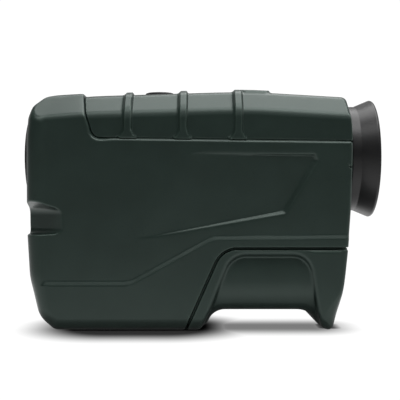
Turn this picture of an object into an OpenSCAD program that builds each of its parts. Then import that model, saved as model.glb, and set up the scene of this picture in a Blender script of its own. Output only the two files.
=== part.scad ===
// Hand-held laser rangefinder with a ribbed two-shell housing.
// Millimetres. Objective towards -X, eyepiece towards +X, base on Z = 0.

/* [Body] */
// Length of the housing from front face to rear face
body_len = 94.3; // [93:0.1:104]
// Width over the lower side walls
body_w = 41.4; // [40.8:0.1:46]
// Height from the base to the top of the ribs
body_h = 69.6; // [69:0.1:74]
// Wall of the moulded shells
wall = 2.6; // [2.2:0.1:2.8]
// Rounding along the lower edges
base_r = 6; // [4:0.5:7]
// Rounding of the upright front edges
front_r = 4.5; // [4:0.5:6.5]
// Rounding of the upright rear edges
rear_r = 1.6; // [1.4:0.1:4]
// Slope of the roof sides
roof_tilt = 46; // [42:1:48]
// Width of the flat roof between its sloping sides
roof_flat = 27.4; // [24:0.2:28]
// Rounding from the roof slope into the side wall
roof_r = 2; // [1:0.5:4]

/* [Side relief] */
// Step by which the lower band stands proud of the upper side
crease_step = 0.4; // [0.2:0.1:0.6]
// Depth of the side panel at its rear end
panel_depth = 0.9; // [0.5:0.1:1.1]
// Height of the floor of the grip notch in each front edge
notch_h = 5.4; // [4.6:0.1:6]
// Height of the notch centre above the base
notch_z = 32; // [31:0.5:33]
// Width of the notch across the front face
notch_front = 8.6; // [6:0.2:9]
// Length of the notch along the side
notch_back = 11.2; // [9:0.2:11.6]

/* [Top cover] */
// Inset of the cover side below the housing side
cover_inset = 0.3; // [0.1:0.1:0.5]
// Width of one cross rib
rib_w = 2.5; // [2:0.1:3.5]
// Spacing of the cross ribs
rib_pitch = 15.85; // [15.5:0.05:16.2]
// Distance of the first rib behind the front face
rib_first = 29.45; // [29:0.05:30]
// Depth of the pockets between the ribs
pocket_depth = 0.85; // [0.5:0.05:1]
// Rounding of the lower pocket corners
pocket_r = 2.6; // [1.5:0.1:4]
// Length of the raised pad behind the last rib
pad_len = 7.5; // [7.2:0.1:8.2]
// Width of the raised pad
pad_w = 26; // [22:0.5:27]
// Depth of the ledge below the rib tops at its front end
ledge_drop = 15.1; // [14.6:0.1:15.6]
// Fall of the ledge to the rear
ledge_fall = 1; // [0.5:0.1:1.4]
// Seam between cover and housing
seam = 0.15; // [0.1:0.05:0.25]
// Depth of the inner lip below the ledge
lip_depth = 1.6; // [1:0.1:1.6]

/* [Battery cover] */
// Depth of the seam above the battery cover below the optical axis
bay_drop = 26.3; // [26:0.1:26.6]
// Foot of the sloping seam behind the front face
bay_foot = 45.6; // [45:0.1:46]
// Lean of the front seam from upright
bay_lean = 24; // [22:0.5:25]
// Rounding where the sloping seam turns level
bay_r = 7; // [5:0.5:8]
// Open seam between housing and battery cover
bay_gap = 0.7; // [0.6:0.05:0.9]
// Wall of the battery cover
lid_wall = 1.8; // [1.5:0.1:2.2]
// Clear height of the arch under the cover
arch_h = 5.6; // [5.2:0.1:6.4]
// Depth of the finger scoop in each side
scoop_depth = 2.6; // [1.5:0.1:3]
// Radius of the finger scoop hollow
scoop_r = 9; // [8.5:0.5:11]
// Depth of the grip wall below the finger scoop
grip_depth = 0.9; // [0.5:0.1:1.2]
// Running play of the cover on its rails
lid_play = 0.3; // [0.25:0.05:0.4]

/* [Objective] */
// Depth of the optical axis below the rib tops
axis_drop = 19.6; // [19.4:0.1:20]
// Reach of the black ring in front of the housing
ring_proud = 1.3; // [0.8:0.1:1.6]
// Outer radius of the black ring
ring_r = 13.5; // [13.2:0.1:14]
// Outer radius of the objective tube
tube_r = 12; // [11.9:0.05:12.1]
// Wall of the objective tube at the lens seat
tube_wall = 0.95; // [0.9:0.05:1.1]
// Length of the objective tube
tube_len = 36; // [35:0.1:36.2]
// Outer radius of the tube behind its taper
tube_rear_r = 9.8; // [9:0.1:10]
// Thickness of the front objective element
crown_t = 3.2; // [2.8:0.1:3.4]
// Thickness of the rear objective element
flint_t = 2.6; // [2.2:0.1:2.8]

/* [Laser emitter] */
// Margin from the base to the space in which the emitter is centred
laser_sill = 5; // [4:0.1:6]
// Radius of the emitter lens
laser_r = 7; // [6.8:0.1:7.2]
// Length of the emitter tube
laser_len = 32; // [30:0.1:33]
// Wall of the emitter tube
laser_wall = 1.1; // [0.9:0.1:1.3]

/* [Prisms and display] */
// Half width of the prism glass
prism_half = 8; // [7.6:0.1:8.2]
// Half height of the prism glass
prism_rise = 8; // [7.6:0.1:8.2]
// Wall of the prism frame
frame_wall = 1.2; // [1:0.1:1.4]
// Half width of the display glass
display_half = 7; // [6:0.1:7.4]
// Thickness of the display glass
display_t = 1.8; // [1.4:0.1:2]

/* [Eyepiece] */
// Reach of the eyecup behind the housing
cup_reach = 8.4; // [8:0.1:9]
// Flare of the eyecup rim beyond its neck
cup_flare = 2.1; // [1.5:0.1:3]
// Wall of the eyecup neck around the dioptre ring
cup_wall = 1.3; // [1.1:0.1:1.8]
// Outer radius of the eyepiece barrel
barrel_r = 13; // [12:0.1:13.6]
// Wall of the eyepiece barrel
barrel_wall = 1.4; // [1.3:0.05:1.5]
// Wall of the dioptre ring around the barrel
dial_wall = 1.6; // [1.5:0.05:1.7]
// Turn of the dioptre ring to each side in degrees
dial_turn = 75; // [60:1:80]
// Travel of the eye lens to each side
dial_travel = 0.9; // [0.6:0.05:0.95]
// Radius of a drive pin
pin_r = 0.8; // [0.7:0.05:0.85]

/* [Buttons] */
// Length of the power button along the body
power_len = 9; // [8:0.1:9.2]
// Width of the power button across the body
power_w = 14; // [12:0.1:15]
// Height of the power button above the ribs
power_proud = 0.8; // [0.4:0.1:1.2]
// Radius of the mode button
mode_r = 3; // [2.6:0.1:3.1]
// Press travel of both buttons
press = 0.5; // [0.3:0.05:0.5]
// Play around the buttons
button_play = 0.3; // [0.25:0.05:0.4]

/* [Battery] */
// Radius of the lithium cell
cell_r = 7.8; // [7.7:0.05:7.85]
// Length of the lithium cell with its button
cell_len = 27; // [26.5:0.1:27.1]
// Wall of the battery bay
tray_wall = 1.2; // [1:0.1:1.4]
// Play around the cell
cell_play = 0.2; // [0.15:0.05:0.3]
// Radius of the spring wire
wire_r = 0.3; // [0.25:0.05:0.32]

/* [Boards and fasteners] */
// Thickness of the circuit boards
board_t = 1; // [0.8:0.1:1.1]
// Radius of the housing screw shank
screw_r = 1; // [0.9:0.05:1.1]
// Radius of the housing screw head
head_r = 1.9; // [1.8:0.05:2]
// Radius of the screw bosses
boss_r = 2.3; // [2.2:0.05:2.4]
// Thread wall radius of the tripod bush
thread_r = 2.6; // [2.5:0.05:2.7]
// Outer radius of the tripod bush
bush_r = 5; // [4.6:0.1:5.2]
// Depth of the tripod bush
bush_len = 8; // [7:0.1:8.4]
// Static play between seated pieces
fit = 0.15; // [0.1:0.05:0.2]

/* [Hidden] */
$fn = 72;
big = 200;
half_w = body_w / 2;
front_x = ring_proud - (body_len + ring_proud + cup_reach) / 2;
rear_x = front_x + body_len;
axis_z = body_h - axis_drop;
ledge_z = body_h - ledge_drop;
bay_z = axis_z - bay_drop;
laser_z = (laser_sill + axis_z - tube_r) / 2;

// Side outline, clockwise from the base: distance behind the front or before the rear, height, rounding
FRONT_CURVE = [
  [8.3, 0, 3],
  [3.9, 3.8, 8],
  [1, 15, 20],
  [0.1, 30, 100]
];
FRONT_TOP = [
  [0, 14.6, 30],
  [2.1, 5.6, 4],
  [5.7, 2.7, 6],
  [16.7, 1.4, 100],
  [62.7, 0, 200]
];
REAR_TOP = [
  [1.3, 1.75, 2.5],
  [0, 13.6, 100],
  [0.6, 31.6, 150]
];
REAR_CURVE = [
  [1.6, 23.8, 100],
  [2.9, 11.5, 60],
  [5.9, 0, 1.6]
];
side_pts = concat(
  [for (p = FRONT_CURVE) [front_x + p[0], p[1], p[2]]],
  [for (p = FRONT_TOP) [front_x + p[0], body_h - p[1], p[2]]],
  [for (p = REAR_TOP) [rear_x - p[0], body_h - p[1], p[2]]],
  [for (p = REAR_CURVE) [rear_x - p[0], p[1], p[2]]]
);
ridge_x = front_x + FRONT_TOP[4][0];
front_fall = FRONT_TOP[3][1] / (FRONT_TOP[4][0] - FRONT_TOP[3][0]);
rear_fall = REAR_TOP[0][1] / (rear_x - REAR_TOP[0][0] - ridge_x);
function roof_z(x) = body_h - (x < ridge_x ? front_fall * (ridge_x - x) : rear_fall * (x - ridge_x));
roof_pts = [
  [front_x - big, -big, 0],
  [front_x - 9, body_h - 2.6, 0],
  [front_x + 5.7, body_h - 2.3, 60],
  [front_x + FRONT_TOP[3][0], body_h - FRONT_TOP[3][1], FRONT_TOP[3][2]],
  [ridge_x, body_h, FRONT_TOP[4][2]],
  [rear_x + 9, roof_z(rear_x + 9), 0],
  [rear_x + big, -big, 0]
];
FRONT_EDGES = [0, 1, 2, 3, 4, 5];
REAR_EDGES = [9, 10, 12, 13];

// Arc points that round corner b between a and c
function unit(v) = v / norm(v);
function flat(p) = [p[0], p[1]];
function wrap(a) = a > 180 ? a - 360 : a < -180 ? a + 360 : a;
function arc(o, r, a, s, n) = [for (i = [0:n]) o + r * [cos(a + s * i / n), sin(a + s * i / n)]];
function corner(a, b, c, r) =
  let (
    u = unit(a - b),
    v = unit(c - b),
    h = acos(u * v) / 2,
    o = b + unit(u + v) * r / sin(h),
    s = b + u * r / tan(h) - o,
    e = b + v * r / tan(h) - o,
    a0 = atan2(s[1], s[0]),
    turn = wrap(atan2(e[1], e[0]) - a0)
  )
  arc(o, r, a0, turn, max(2, ceil(abs(turn) / 14)));
function rounded(pts) =
  let (n = len(pts))
  [for (i = [0:n - 1]) each
    pts[i][2] == 0 ? [flat(pts[i])] :
    corner(flat(pts[(i + n - 1) % n]), flat(pts[i]), flat(pts[(i + 1) % n]), pts[i][2])];
function stadium(l, w) =
  let (r = l / 2, c = w / 2 - l / 2)
  concat(arc([0, c], r, 0, 180, 14), arc([0, -c], r, 180, 180, 14));

// Roof slopes with the rounding that leads them into the side wall
roof_edge = roof_flat / 2;
fillet_y = half_w - roof_r;
fillet_h = ((fillet_y - roof_edge) * sin(roof_tilt) + roof_r) / cos(roof_tilt);
function fillet_edge(t) = fillet_y + (roof_r - fillet_h * cos(t)) / sin(t);
ROOF_PLANES = [
  [roof_tilt, roof_edge],
  [roof_tilt + 15, fillet_edge(roof_tilt + 15)],
  [roof_tilt + 30, fillet_edge(roof_tilt + 30)]
];

// Top cover seam, ribs and pockets
saddle_x = front_x + 17.4;
rib_x = [for (i = [0:2]) front_x + rib_first + i * rib_pitch];
pad_x = rib_x[2] + rib_w / 2;
function ledge(x) = ledge_z - ledge_fall * (x - saddle_x) / (rear_x - saddle_x);
saddle_pts = [
  [saddle_x - 1.2, body_h + 20, 0],
  [saddle_x - 1.1, body_h - 2, 20],
  [saddle_x, body_h - 8, 14],
  [saddle_x + 2.4, ledge(saddle_x + 2.4), 3.4],
  [rear_x + 20, ledge(rear_x + 20), 0],
  [rear_x + 20, body_h + 20, 0]
];
pocket_ends = concat(
  [[saddle_x - 3, rib_x[0] - rib_w / 2]],
  [for (i = [0:1]) [rib_x[i] + rib_w / 2, rib_x[i + 1] - rib_w / 2]],
  [[rib_x[2] + rib_w / 2, rear_x + 20]]
);

// Battery cover seam and arch
bay_x = front_x + bay_foot;
bay_pts = [
  [bay_x - 10 * tan(bay_lean), -10, 0],
  [bay_x + bay_z * tan(bay_lean), bay_z, bay_r],
  [rear_x + 60, bay_z, 0],
  [rear_x + 60, -10, 0]
];
arch_x0 = bay_x + 6;
arch_x1 = rear_x - 9.4;
arch_pts = [
  [arch_x0 - 2, -5, 0],
  [arch_x0 + 2.4, arch_h, 5],
  [arch_x1 - 2.4, arch_h, 6],
  [arch_x1 + 2, -5, 0]
];
scoop_top = bay_z - 2.4;
scoop_y = scoop_depth - half_w - scoop_r;
scoop_rise = acos((scoop_r - scoop_depth) / scoop_r);
scoop_fall = acos((scoop_r - scoop_depth + grip_depth) / scoop_r);
scoop_z = scoop_top - scoop_r * sin(scoop_rise);
scoop_section = concat(
  [[-half_w - 9, 0], [-half_w - 9, scoop_top]],
  arc([scoop_y, scoop_z], scoop_r, scoop_rise, -scoop_rise - scoop_fall, 8),
  [[grip_depth - half_w, 0]]
);
scoop_pts = [
  [arch_x0 - 2.6, -5, 0],
  [bay_x + 13.6, scoop_top, 6],
  [rear_x - 14, scoop_top, 5],
  [rear_x - 12.4, scoop_top - 4.4, 3],
  [rear_x - 9, -5, 0]
];

// Crease between the proud lower band and the upper side
crease_pts = [
  [front_x - 20, 13.7, 0],
  [front_x + 30.2, 13.7, 8],
  [front_x + 53.6, bay_z + 2.9, 7],
  [rear_x + 20, bay_z + 3.5, 0],
  [rear_x + 20, body_h + 20, 0],
  [front_x - 20, body_h + 20, 0]
];
panel_hinge = [[front_x + 47, axis_z + 0.4], [front_x + 32, axis_z - 23.8]];
panel_rear = [[rear_x - 9, axis_z + 0.1], [rear_x - 19.4, axis_z - 16.4]];
// The cutter starts ahead of its hinge, where its tilted face is clear of the side
panel_lead = 2;
panel_start = [for (i = [0:1]) panel_hinge[i] + panel_lead * unit(panel_hinge[i] - panel_rear[i])];
panel_pts = [
  [panel_start[0][0], panel_start[0][1], 0],
  [panel_rear[0][0], panel_rear[0][1], 1.5],
  [panel_rear[1][0], panel_rear[1][1], 1],
  [panel_start[1][0], panel_start[1][1], 0]
];
panel_dir = unit(panel_hinge[1] - panel_hinge[0]);
panel_span = abs(cross(panel_dir, panel_rear[0] - panel_hinge[0]));

// Objective and emitter stations along X
lens_r = tube_r - tube_wall;
tube_x0 = front_x + 0.5;
tube_x1 = tube_x0 + tube_len;
collar_x = front_x + wall + fit;
collar_t = 1.5;
collar_r = tube_r + 2.4;
lens_x1 = tube_x0 + 6.8;
flint_x0 = lens_x1 - flint_t;
crown_x0 = flint_x0 - crown_t;
laser_face = front_x + 0.5;
laser_x0 = laser_face + 0.9;
laser_x1 = laser_x0 + laser_len;
laser_out = laser_r + fit / 2 + laser_wall;
laser_collar = front_x + wall + 1.2;
diode_r = 2.8;
bulk_x = tube_x1 - 3;
bulk_t = 1.6;

// Eyepiece radii, and stations along X
barrel_bore = barrel_r - barrel_wall;
dial_r = barrel_r + dial_wall;
cup_neck_r = dial_r + cup_wall;
cup_rim_r = cup_neck_r + cup_flare;
back_in = rear_x - wall;
barrel_x0 = rear_x - 17.6;
barrel_x1 = rear_x + 5.9;
flange_x0 = back_in - 3;
flange_t = 1.7;
dial_x0 = rear_x + 0.6;
dial_x1 = rear_x + 4.8;
cup_x0 = rear_x + 0.4;
cup_x1 = rear_x + cup_reach;
pin_x = (dial_x0 + dial_x1) / 2;
pin_slack = 0.2;
ocular_r = barrel_bore - 0.12;
ocular_x0 = barrel_x0 + 2.2;
ocular_x1 = pin_x + 1.3;
ocular_bore = ocular_r - 1.1;
eye_x0 = rear_x - 5.6;
eye_t = 4.6;
field_x0 = ocular_x0 + 1.2;
field_t = 4;

// Prism block and display stations along X
prism_x0 = rear_x - 50.4;
prism_x1 = prism_x0 + 23;
prism_gap = 0.5;
frame_z = axis_z - prism_rise - fit;
frame_half = prism_half + fit;
display_x = barrel_x0 - 3;

// Battery bay, centred on the cell axis
cell_z = bay_z + 0.3;
tray_in = cell_r + cell_play;
tray_out = tray_in + tray_wall;
tray_x1 = rear_x - 4.6;
plate_t = 0.4;
spring_len = 2.2;
tray_x0 = tray_x1 - 2 * tray_wall - cell_len - 2 * plate_t - spring_len - 2 * cell_play;
cell_x1 = tray_x1 - tray_wall - plate_t - cell_play;
cell_x0 = cell_x1 - cell_len;
rail_z = bay_z - 3.2;
rail_t = 1.2;
rail_half = tray_out + 2.8;
BAY_SCREWS = [tray_x0 + 8, tray_x1 - 4];
lid_half = half_w - scoop_depth - lid_wall - 1;
hook_half = tray_out + 0.7;
hook_x0 = bay_x + 15.6;
hook_x1 = rear_x - 3.5;
hook_z = rail_z + rail_t + lid_play;
tongue_half = 5;
tongue_z = 3.4;
tongue_t = 1.6;

// Boards, buttons and screws
main_z = axis_z - tube_r - 3.6;
main_x0 = front_x + 16.8;
main_x1 = prism_x0 + 11;
main_half = half_w - wall - 1.6;
key_z = axis_z + prism_rise + 3.3;
key_x0 = rib_x[0] + 2.8;
key_x1 = pad_x + 8.4;
key_half = 6.4;
power_x = (rib_x[0] + rib_x[1]) / 2 + 0.5;
mode_x = pad_x + pad_len / 2;
POSTS = [rib_x[1], rib_x[2] - 4];
post_r = 1.7;
switch_h = 1.4;
plunger_r = 1.5;
plunger_up = 0.8;
stem_z = key_z + board_t + switch_h + plunger_up;
bush_x = bay_x - 11.1;
screw_head = 1.6;
SCREWS = [
  [front_x + 13.4, (axis_z - tube_r + laser_z + laser_out) / 2],
  [front_x + 15, 6.4],
  [prism_x0 + 7, main_z - 4.7],
  [prism_x0 + 26.4, frame_z - frame_wall - boss_r - 1.3]
];

// Shared forms
module inset(d) {
  if (d == 0) children();
  else offset(delta = -d) children();
}

module along_y(w = big) {
  rotate([90, 0, 0]) linear_extrude(w, center = true) children();
}

module along_x(x, z) {
  translate([x, 0, z]) rotate([0, 90, 0]) children();
}

module pipe(x0, x1, z, ro, ri) {
  difference() {
    along_x(x0, z) cylinder(h = x1 - x0, r = ro);
    along_x(x0 - 1, z) cylinder(h = x1 - x0 + 2, r = ri);
  }
}

module rod(x0, x1, z, r) {
  along_x(x0, z) cylinder(h = x1 - x0, r = r);
}

module block(x0, x1, y0, y1, z0, z1) {
  translate([x0, y0, z0]) cube([x1 - x0, y1 - y0, z1 - z0]);
}

module both_sides() {
  children();
  mirror([0, 1, 0]) children();
}

// Outer form of the housing, set in by d
module roof_slope(plane, d) {
  t = plane[0];
  rotate([90 + t, 0, 0])
    linear_extrude(2 * big, center = true)
      inset(d)
        polygon([for (p = rounded(roof_pts)) [p[0], (p[1] + plane[1] * tan(t)) * cos(t)]]);
}

module edge_slope(i, r, d) {
  p = side_pts[i];
  q = side_pts[i + 1];
  t = atan2(q[1] - p[1], q[0] - p[0]);
  h = half_w - d;
  c = max(r - d, 0.4);
  translate([p[0], 0, p[1]])
    rotate([0, 90 - t, 0])
      linear_extrude(2 * big, center = true)
        polygon(rounded([[d, -h, c], [big, -h, 0], [big, h, 0], [d, h, c]]));
}

module body(d = 0) {
  h = half_w - d;
  c = max(base_r - d, 0.4);
  intersection() {
    along_y(body_w + 2) inset(d) polygon(rounded(side_pts));
    rotate([90, 0, 90])
      linear_extrude(big, center = true)
        polygon(rounded([[-h, d, c], [h, d, c], [h, body_h + 9, 0], [-h, body_h + 9, 0]]));
    intersection_for(p = ROOF_PLANES) roof_slope(p, d);
    mirror([0, 1, 0]) intersection_for(p = ROOF_PLANES) roof_slope(p, d);
    intersection_for(i = FRONT_EDGES) edge_slope(i, front_r, d);
    intersection_for(i = REAR_EDGES) edge_slope(i, rear_r, d);
  }
}

module notch(d) {
  a = atan2(notch_front, notch_back);
  h = notch_h / 2;
  translate([front_x, -(half_w - notch_front), notch_z])
    rotate([0, 0, -a])
      rotate([90, 0, 90])
        linear_extrude(60, center = true)
          inset(-d)
            polygon(rounded([[-30, -h - 15, 0], [0, -h, 1.2], [0, h, 1.2], [-30, h + 15, 0]]));
}

module side_panel() {
  translate([panel_hinge[0][0], -(half_w - crease_step), panel_hinge[0][1]])
    rotate(a = -atan2(panel_depth, panel_span), v = [panel_dir[0], 0, panel_dir[1]])
      translate([-panel_hinge[0][0], 0, -panel_hinge[0][1]])
        rotate([90, 0, 0])
          linear_extrude(6)
            polygon(rounded(panel_pts));
}

module crease_cut(y) {
  translate([0, -y, 0]) rotate([90, 0, 0]) linear_extrude(20) children();
}

module bay_zone(d) {
  along_y() offset(delta = d) polygon(rounded(bay_pts));
}

module saddle_zone(d) {
  along_y() offset(delta = d) polygon(rounded(saddle_pts));
}

// One half of the housing: side is -1 for the left half and 1 for the right
module on_side(side) {
  if (side < 0) children();
  else mirror([0, 1, 0]) children();
}

module half_shell(side) {
  difference() {
    union() {
      difference() {
        body();
        difference() {
          body(wall);
          bay_zone(wall + bay_gap / 2);
          both_sides() notch(wall);
        }
      }
      difference() {
        intersection() {
          body(wall / 2);
          half_inside();
        }
        bay_zone(bay_gap / 2);
      }
    }
    on_side(side) block(-big, big, 0, big, -big, big);
    saddle_zone(0);
    bay_zone(bay_gap / 2);
    on_side(side) notch(0);
    on_side(side) side_panel();
    on_side(side) crease_cut(half_w - crease_step) polygon(rounded(crease_pts));
    rod(front_x - 5, collar_x + collar_t, axis_z, tube_r + fit);
    rod(collar_x, collar_x + collar_t + 2, axis_z, collar_r + fit);
    rod(front_x - 5, laser_collar + 2, laser_z, laser_out + fit);
    rod(laser_collar, laser_collar + 4, laser_z, laser_out + 1.4 + fit);
    for (x = BAY_SCREWS)
      both_sides() translate([x, rail_half - 1.3, bay_z]) cylinder(h = 4, r = 0.62);
    both_sides() translate([main_x1 - 4, main_half - 1.4, main_z - 1.2]) cylinder(h = 2, r = 0.62);
    rod(front_x - 5, front_x + 1.3, laser_z, laser_out + 0.8);
    rod(back_in - 3, rear_x + 5, axis_z, barrel_r + fit);
    translate([bush_x, 0, -1]) cylinder(h = bush_len + 2, r = bush_r + fit / 2);
    translate([bush_x, 0, bush_len]) cylinder(h = 2, r = bush_r + 1 + fit);
    block(tray_x0 - fit, tray_x1 + fit, -tray_out - fit, tray_out + fit, bay_z - 6, cell_z + 8);
    block(bay_x - 9, bay_x + 5, -tongue_half - lid_play, tongue_half + lid_play,
      tongue_z - lid_play, tongue_z + tongue_t + lid_play);
  }
}

module half_inside() {
  x0 = bulk_x - bulk_t / 2;
  x1 = bulk_x + bulk_t / 2;
  block(x0, x1, -half_w, half_w, main_z + board_t + 1, ledge(bulk_x) - lip_depth - 0.6);
  block(x0, x1, -half_w, half_w, 0, main_z - 1.2);
  both_sides() {
    block(main_x0, main_x1, -half_w, -main_half + 2.4, main_z - 1.3, main_z);
    for (x = [prism_x0 + 2, prism_x1 - 5])
      block(x, x + 3, -half_w, -frame_half + 2, frame_z - frame_wall - 2, frame_z - frame_wall);
  }
  for (s = SCREWS)
    translate([s[0], 0, s[1]]) rotate([90, 0, 0]) cylinder(h = body_w, r = boss_r, center = true);
  translate([bush_x, 0, 0]) cylinder(h = bush_len, r = bush_r + 2.2);
}

module inside_bores() {
  rod(bulk_x - 5, bulk_x + 5, axis_z, tube_rear_r + fit);
  rod(bulk_x - 5, bulk_x + 5, laser_z, laser_out + fit);
}

module left_housing() {
  color("darkslategray")
    difference() {
      half_shell(-1);
      inside_bores();
      for (s = SCREWS)
        translate([s[0], 1, s[1]]) rotate([90, 0, 0]) cylinder(h = 12, r = screw_r + 0.02);
    }
}

module right_housing() {
  color("darkslategray")
    difference() {
      half_shell(1);
      inside_bores();
      for (s = SCREWS)
        translate([s[0], 0, s[1]]) rotate([-90, 0, 0]) {
          translate([0, 0, -1]) cylinder(h = half_w + 2, r = screw_r + fit);
          translate([0, 0, half_w - wall - 0.6]) cylinder(h = 9, r = head_r + fit);
        }
    }
}

// Ribbed saddle over the top
module top_cover() {
  side_y = half_w - crease_step - cover_inset;
  color("darkslategray") {
    difference() {
      intersection() {
        body();
        saddle_zone(-seam);
        block(-big, big, -side_y, side_y, 0, big);
      }
      body(wall);
      difference() {
        for (e = pocket_ends) along_y() pocket(e);
        intersection() {
          translate([pocket_depth, 0, 0]) body(pocket_depth);
          block(-big, big, pocket_depth - side_y, side_y - pocket_depth, 0, big);
        }
        block(pad_x - 1, pad_x + pad_len, -pad_w / 2, pad_w / 2, 0, big);
      }
      translate([power_x, 0, 0])
        linear_extrude(big) polygon(stadium(power_len + 2 * button_play, power_w + 2 * button_play));
      translate([mode_x, 0, 0]) cylinder(h = big, r = mode_r + button_play);
      rod(back_in - 3, rear_x + 5, axis_z, barrel_r + fit);
    }
    intersection() {
      difference() {
        body(wall - 0.4);
        body(wall + 1.2);
      }
      lip_band(0.3, 2.2);
    }
    intersection() {
      difference() {
        body(wall + fit);
        body(wall + 1.2);
      }
      lip_band(-lip_depth, 0.6);
    }
    for (x = POSTS)
      translate([x, 0, key_z + board_t])
        difference() {
          cylinder(h = roof_z(x) - wall / 2 - key_z - board_t, r = post_r);
          translate([0, 0, -1]) cylinder(h = 4, r = 0.62);
        }
  }
}

module pocket(e) {
  polygon(rounded([
    [e[0], ledge(e[0]), pocket_r],
    [e[1], ledge(e[1]), pocket_r],
    [e[1], body_h + 20, 0],
    [e[0], body_h + 20, 0]
  ]));
}

module lip_band(z0, z1) {
  x0 = saddle_x + 6;
  x1 = flange_x0 - 2;
  along_y()
    polygon([
      [x0, ledge(x0) + z0],
      [x1, ledge(x1) + z0],
      [x1, ledge(x1) + z1],
      [x0, ledge(x0) + z1]
    ]);
}

// Sliding battery cover with the arched grip
module battery_cover() {
  color("darkslategray") {
    difference() {
      intersection() {
        body();
        bay_zone(-bay_gap / 2);
      }
      along_y() polygon(rounded(arch_pts));
      both_sides()
        intersection() {
          rotate([90, 0, 90]) linear_extrude(2 * big, center = true) polygon(scoop_section);
          along_y() polygon(rounded(scoop_pts));
        }
      intersection() {
        along_y()
          offset(delta = -lid_wall)
            difference() {
              polygon(rounded(side_pts));
              polygon(rounded(arch_pts));
            }
        block(-big, big, -lid_half, lid_half, -big, big);
      }
    }
    both_sides()
      block(hook_x0, hook_x1, -lid_half - 1, -hook_half, hook_z, bay_z - bay_gap / 2 - 0.4);
    block(bay_x - 3, bay_x + 6.4, -tongue_half, tongue_half, tongue_z, tongue_z + tongue_t);
  }
}

module housing_screws() {
  color("silver")
    for (s = SCREWS)
      translate([s[0], half_w - wall - 0.6, s[1]]) {
        rotate([90, 0, 0]) cylinder(h = half_w - wall + 9, r = screw_r);
        difference() {
          rotate([-90, 0, 0]) cylinder(h = screw_head, r = head_r);
          block(-0.3, 0.3, 0.8, 9, -1.2, 1.2);
          block(-1.2, 1.2, 0.8, 9, -0.3, 0.3);
        }
      }
}

module tripod_bush() {
  color("goldenrod")
    translate([bush_x, 0, 0.2])
      difference() {
        union() {
          cylinder(h = bush_len + 0.1, r = bush_r);
          translate([0, 0, bush_len - 0.1]) cylinder(h = 1.4, r = bush_r + 1);
        }
        translate([0, 0, -1]) cylinder(h = bush_len + 0.6, r = thread_r);
      }
}

// Objective group
module objective_ring() {
  color("black")
    difference() {
      union() {
        rod(front_x - ring_proud, front_x - 0.1, axis_z, ring_r);
        rod(front_x - 0.2, crown_x0 + 1.35, axis_z, lens_r - 0.08);
      }
      rod(front_x - 9, front_x + 9, axis_z, lens_r - 1);
      along_x(front_x - ring_proud - 0.01, axis_z) cylinder(h = 2.2, r1 = lens_r + 0.6, r2 = lens_r - 1);
    }
}

module objective_seal() {
  color("dimgray")
    along_x(collar_x + 0.48, axis_z)
      rotate_extrude()
        translate([tube_r + 1.25, 0]) circle(r = 0.45, $fn = 24);
}

module objective_tube() {
  cone_x0 = tube_x0 + 18;
  cone_x1 = tube_x0 + 25;
  color("dimgray")
    difference() {
      union() {
        rod(tube_x0, cone_x0, axis_z, tube_r);
        rod(collar_x, collar_x + collar_t, axis_z, collar_r);
        along_x(cone_x0, axis_z) cylinder(h = cone_x1 - cone_x0, r1 = tube_r, r2 = tube_rear_r);
        rod(cone_x1, tube_x1, axis_z, tube_rear_r);
      }
      rod(tube_x0 - 1, lens_x1 + 0.2, axis_z, lens_r);
      rod(lens_x1, cone_x0 - 2, axis_z, lens_r - 1.2);
      along_x(cone_x0 - 2.01, axis_z)
        cylinder(h = tube_x1 - cone_x0 + 4, r1 = lens_r - 1.2, r2 = tube_rear_r - 2.4);
      pipe(collar_x - 1, collar_x + 1, axis_z, tube_r + 1.8, tube_r + 0.7);
    }
}

module objective_crown() {
  r = 34;
  color("powderblue")
    intersection() {
      rod(crown_x0 - 1, flint_x0 + 2, axis_z, lens_r - 0.08);
      translate([crown_x0 + r, 0, axis_z]) sphere(r = r, $fn = 300);
      translate([flint_x0 + 1.2 - r, 0, axis_z]) sphere(r = r, $fn = 300);
    }
}

module objective_flint() {
  r = 34;
  color("lightcyan")
    difference() {
      rod(flint_x0 - 1, lens_x1, axis_z, lens_r - 0.08);
      translate([flint_x0 + 1.25 - r, 0, axis_z]) sphere(r = r, $fn = 300);
    }
}

// Laser emitter group
module laser_ring() {
  color("black")
    difference() {
      union() {
        rod(laser_face - 0.1, front_x + 1.2, laser_z, laser_out + 0.7);
        rod(laser_face, laser_x0 + 1.2, laser_z, laser_r - 0.02);
      }
      rod(laser_face - 3, laser_x0 + 5, laser_z, laser_r - 0.9);
    }
}

module laser_lens() {
  r = 16;
  x0 = laser_x0 + 1.3;
  color("lavender")
    intersection() {
      rod(x0, x0 + 3.4, laser_z, laser_r);
      translate([x0 + r - 0.6, 0, laser_z]) sphere(r = r, $fn = 300);
    }
}

module laser_tube() {
  color("dimgray")
    difference() {
      union() {
        rod(laser_x0, laser_x1, laser_z, laser_out);
        rod(laser_collar + fit, laser_collar + fit + 1.2, laser_z, laser_out + 1.4);
      }
      rod(laser_x0 - 1, laser_x0 + 4.9, laser_z, laser_r + fit / 2);
      rod(laser_x0, laser_x1 - 3, laser_z, laser_r - 0.8);
      rod(laser_x1 - 3.01, laser_x1 + 1, laser_z, laser_r + fit / 2);
    }
}

module laser_holder() {
  color("silver")
    difference() {
      union() {
        rod(laser_x1 - 2.9, laser_x1 + 1, laser_z, laser_r);
        rod(laser_x1 + 0.1, laser_x1 + 1.4, laser_z, laser_out);
      }
      rod(laser_x1 - 9, laser_x1 + 9, laser_z, 1.9);
      rod(laser_x1 - 1, laser_x1 + 9, laser_z, diode_r + 0.05);
    }
}

module laser_diode() {
  color("gold") {
    rod(laser_x1 - 0.9, laser_x1 + 0.4, laser_z, diode_r);
    rod(laser_x1 - 3, laser_x1 - 0.8, laser_z, 1.75);
    for (p = [[-1, 0], [1, 0], [0, 1]])
      translate([0, p[0], 0]) rod(laser_x1 + 0.3, laser_x1 + 4.6, laser_z + p[1], 0.22);
  }
}

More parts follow.
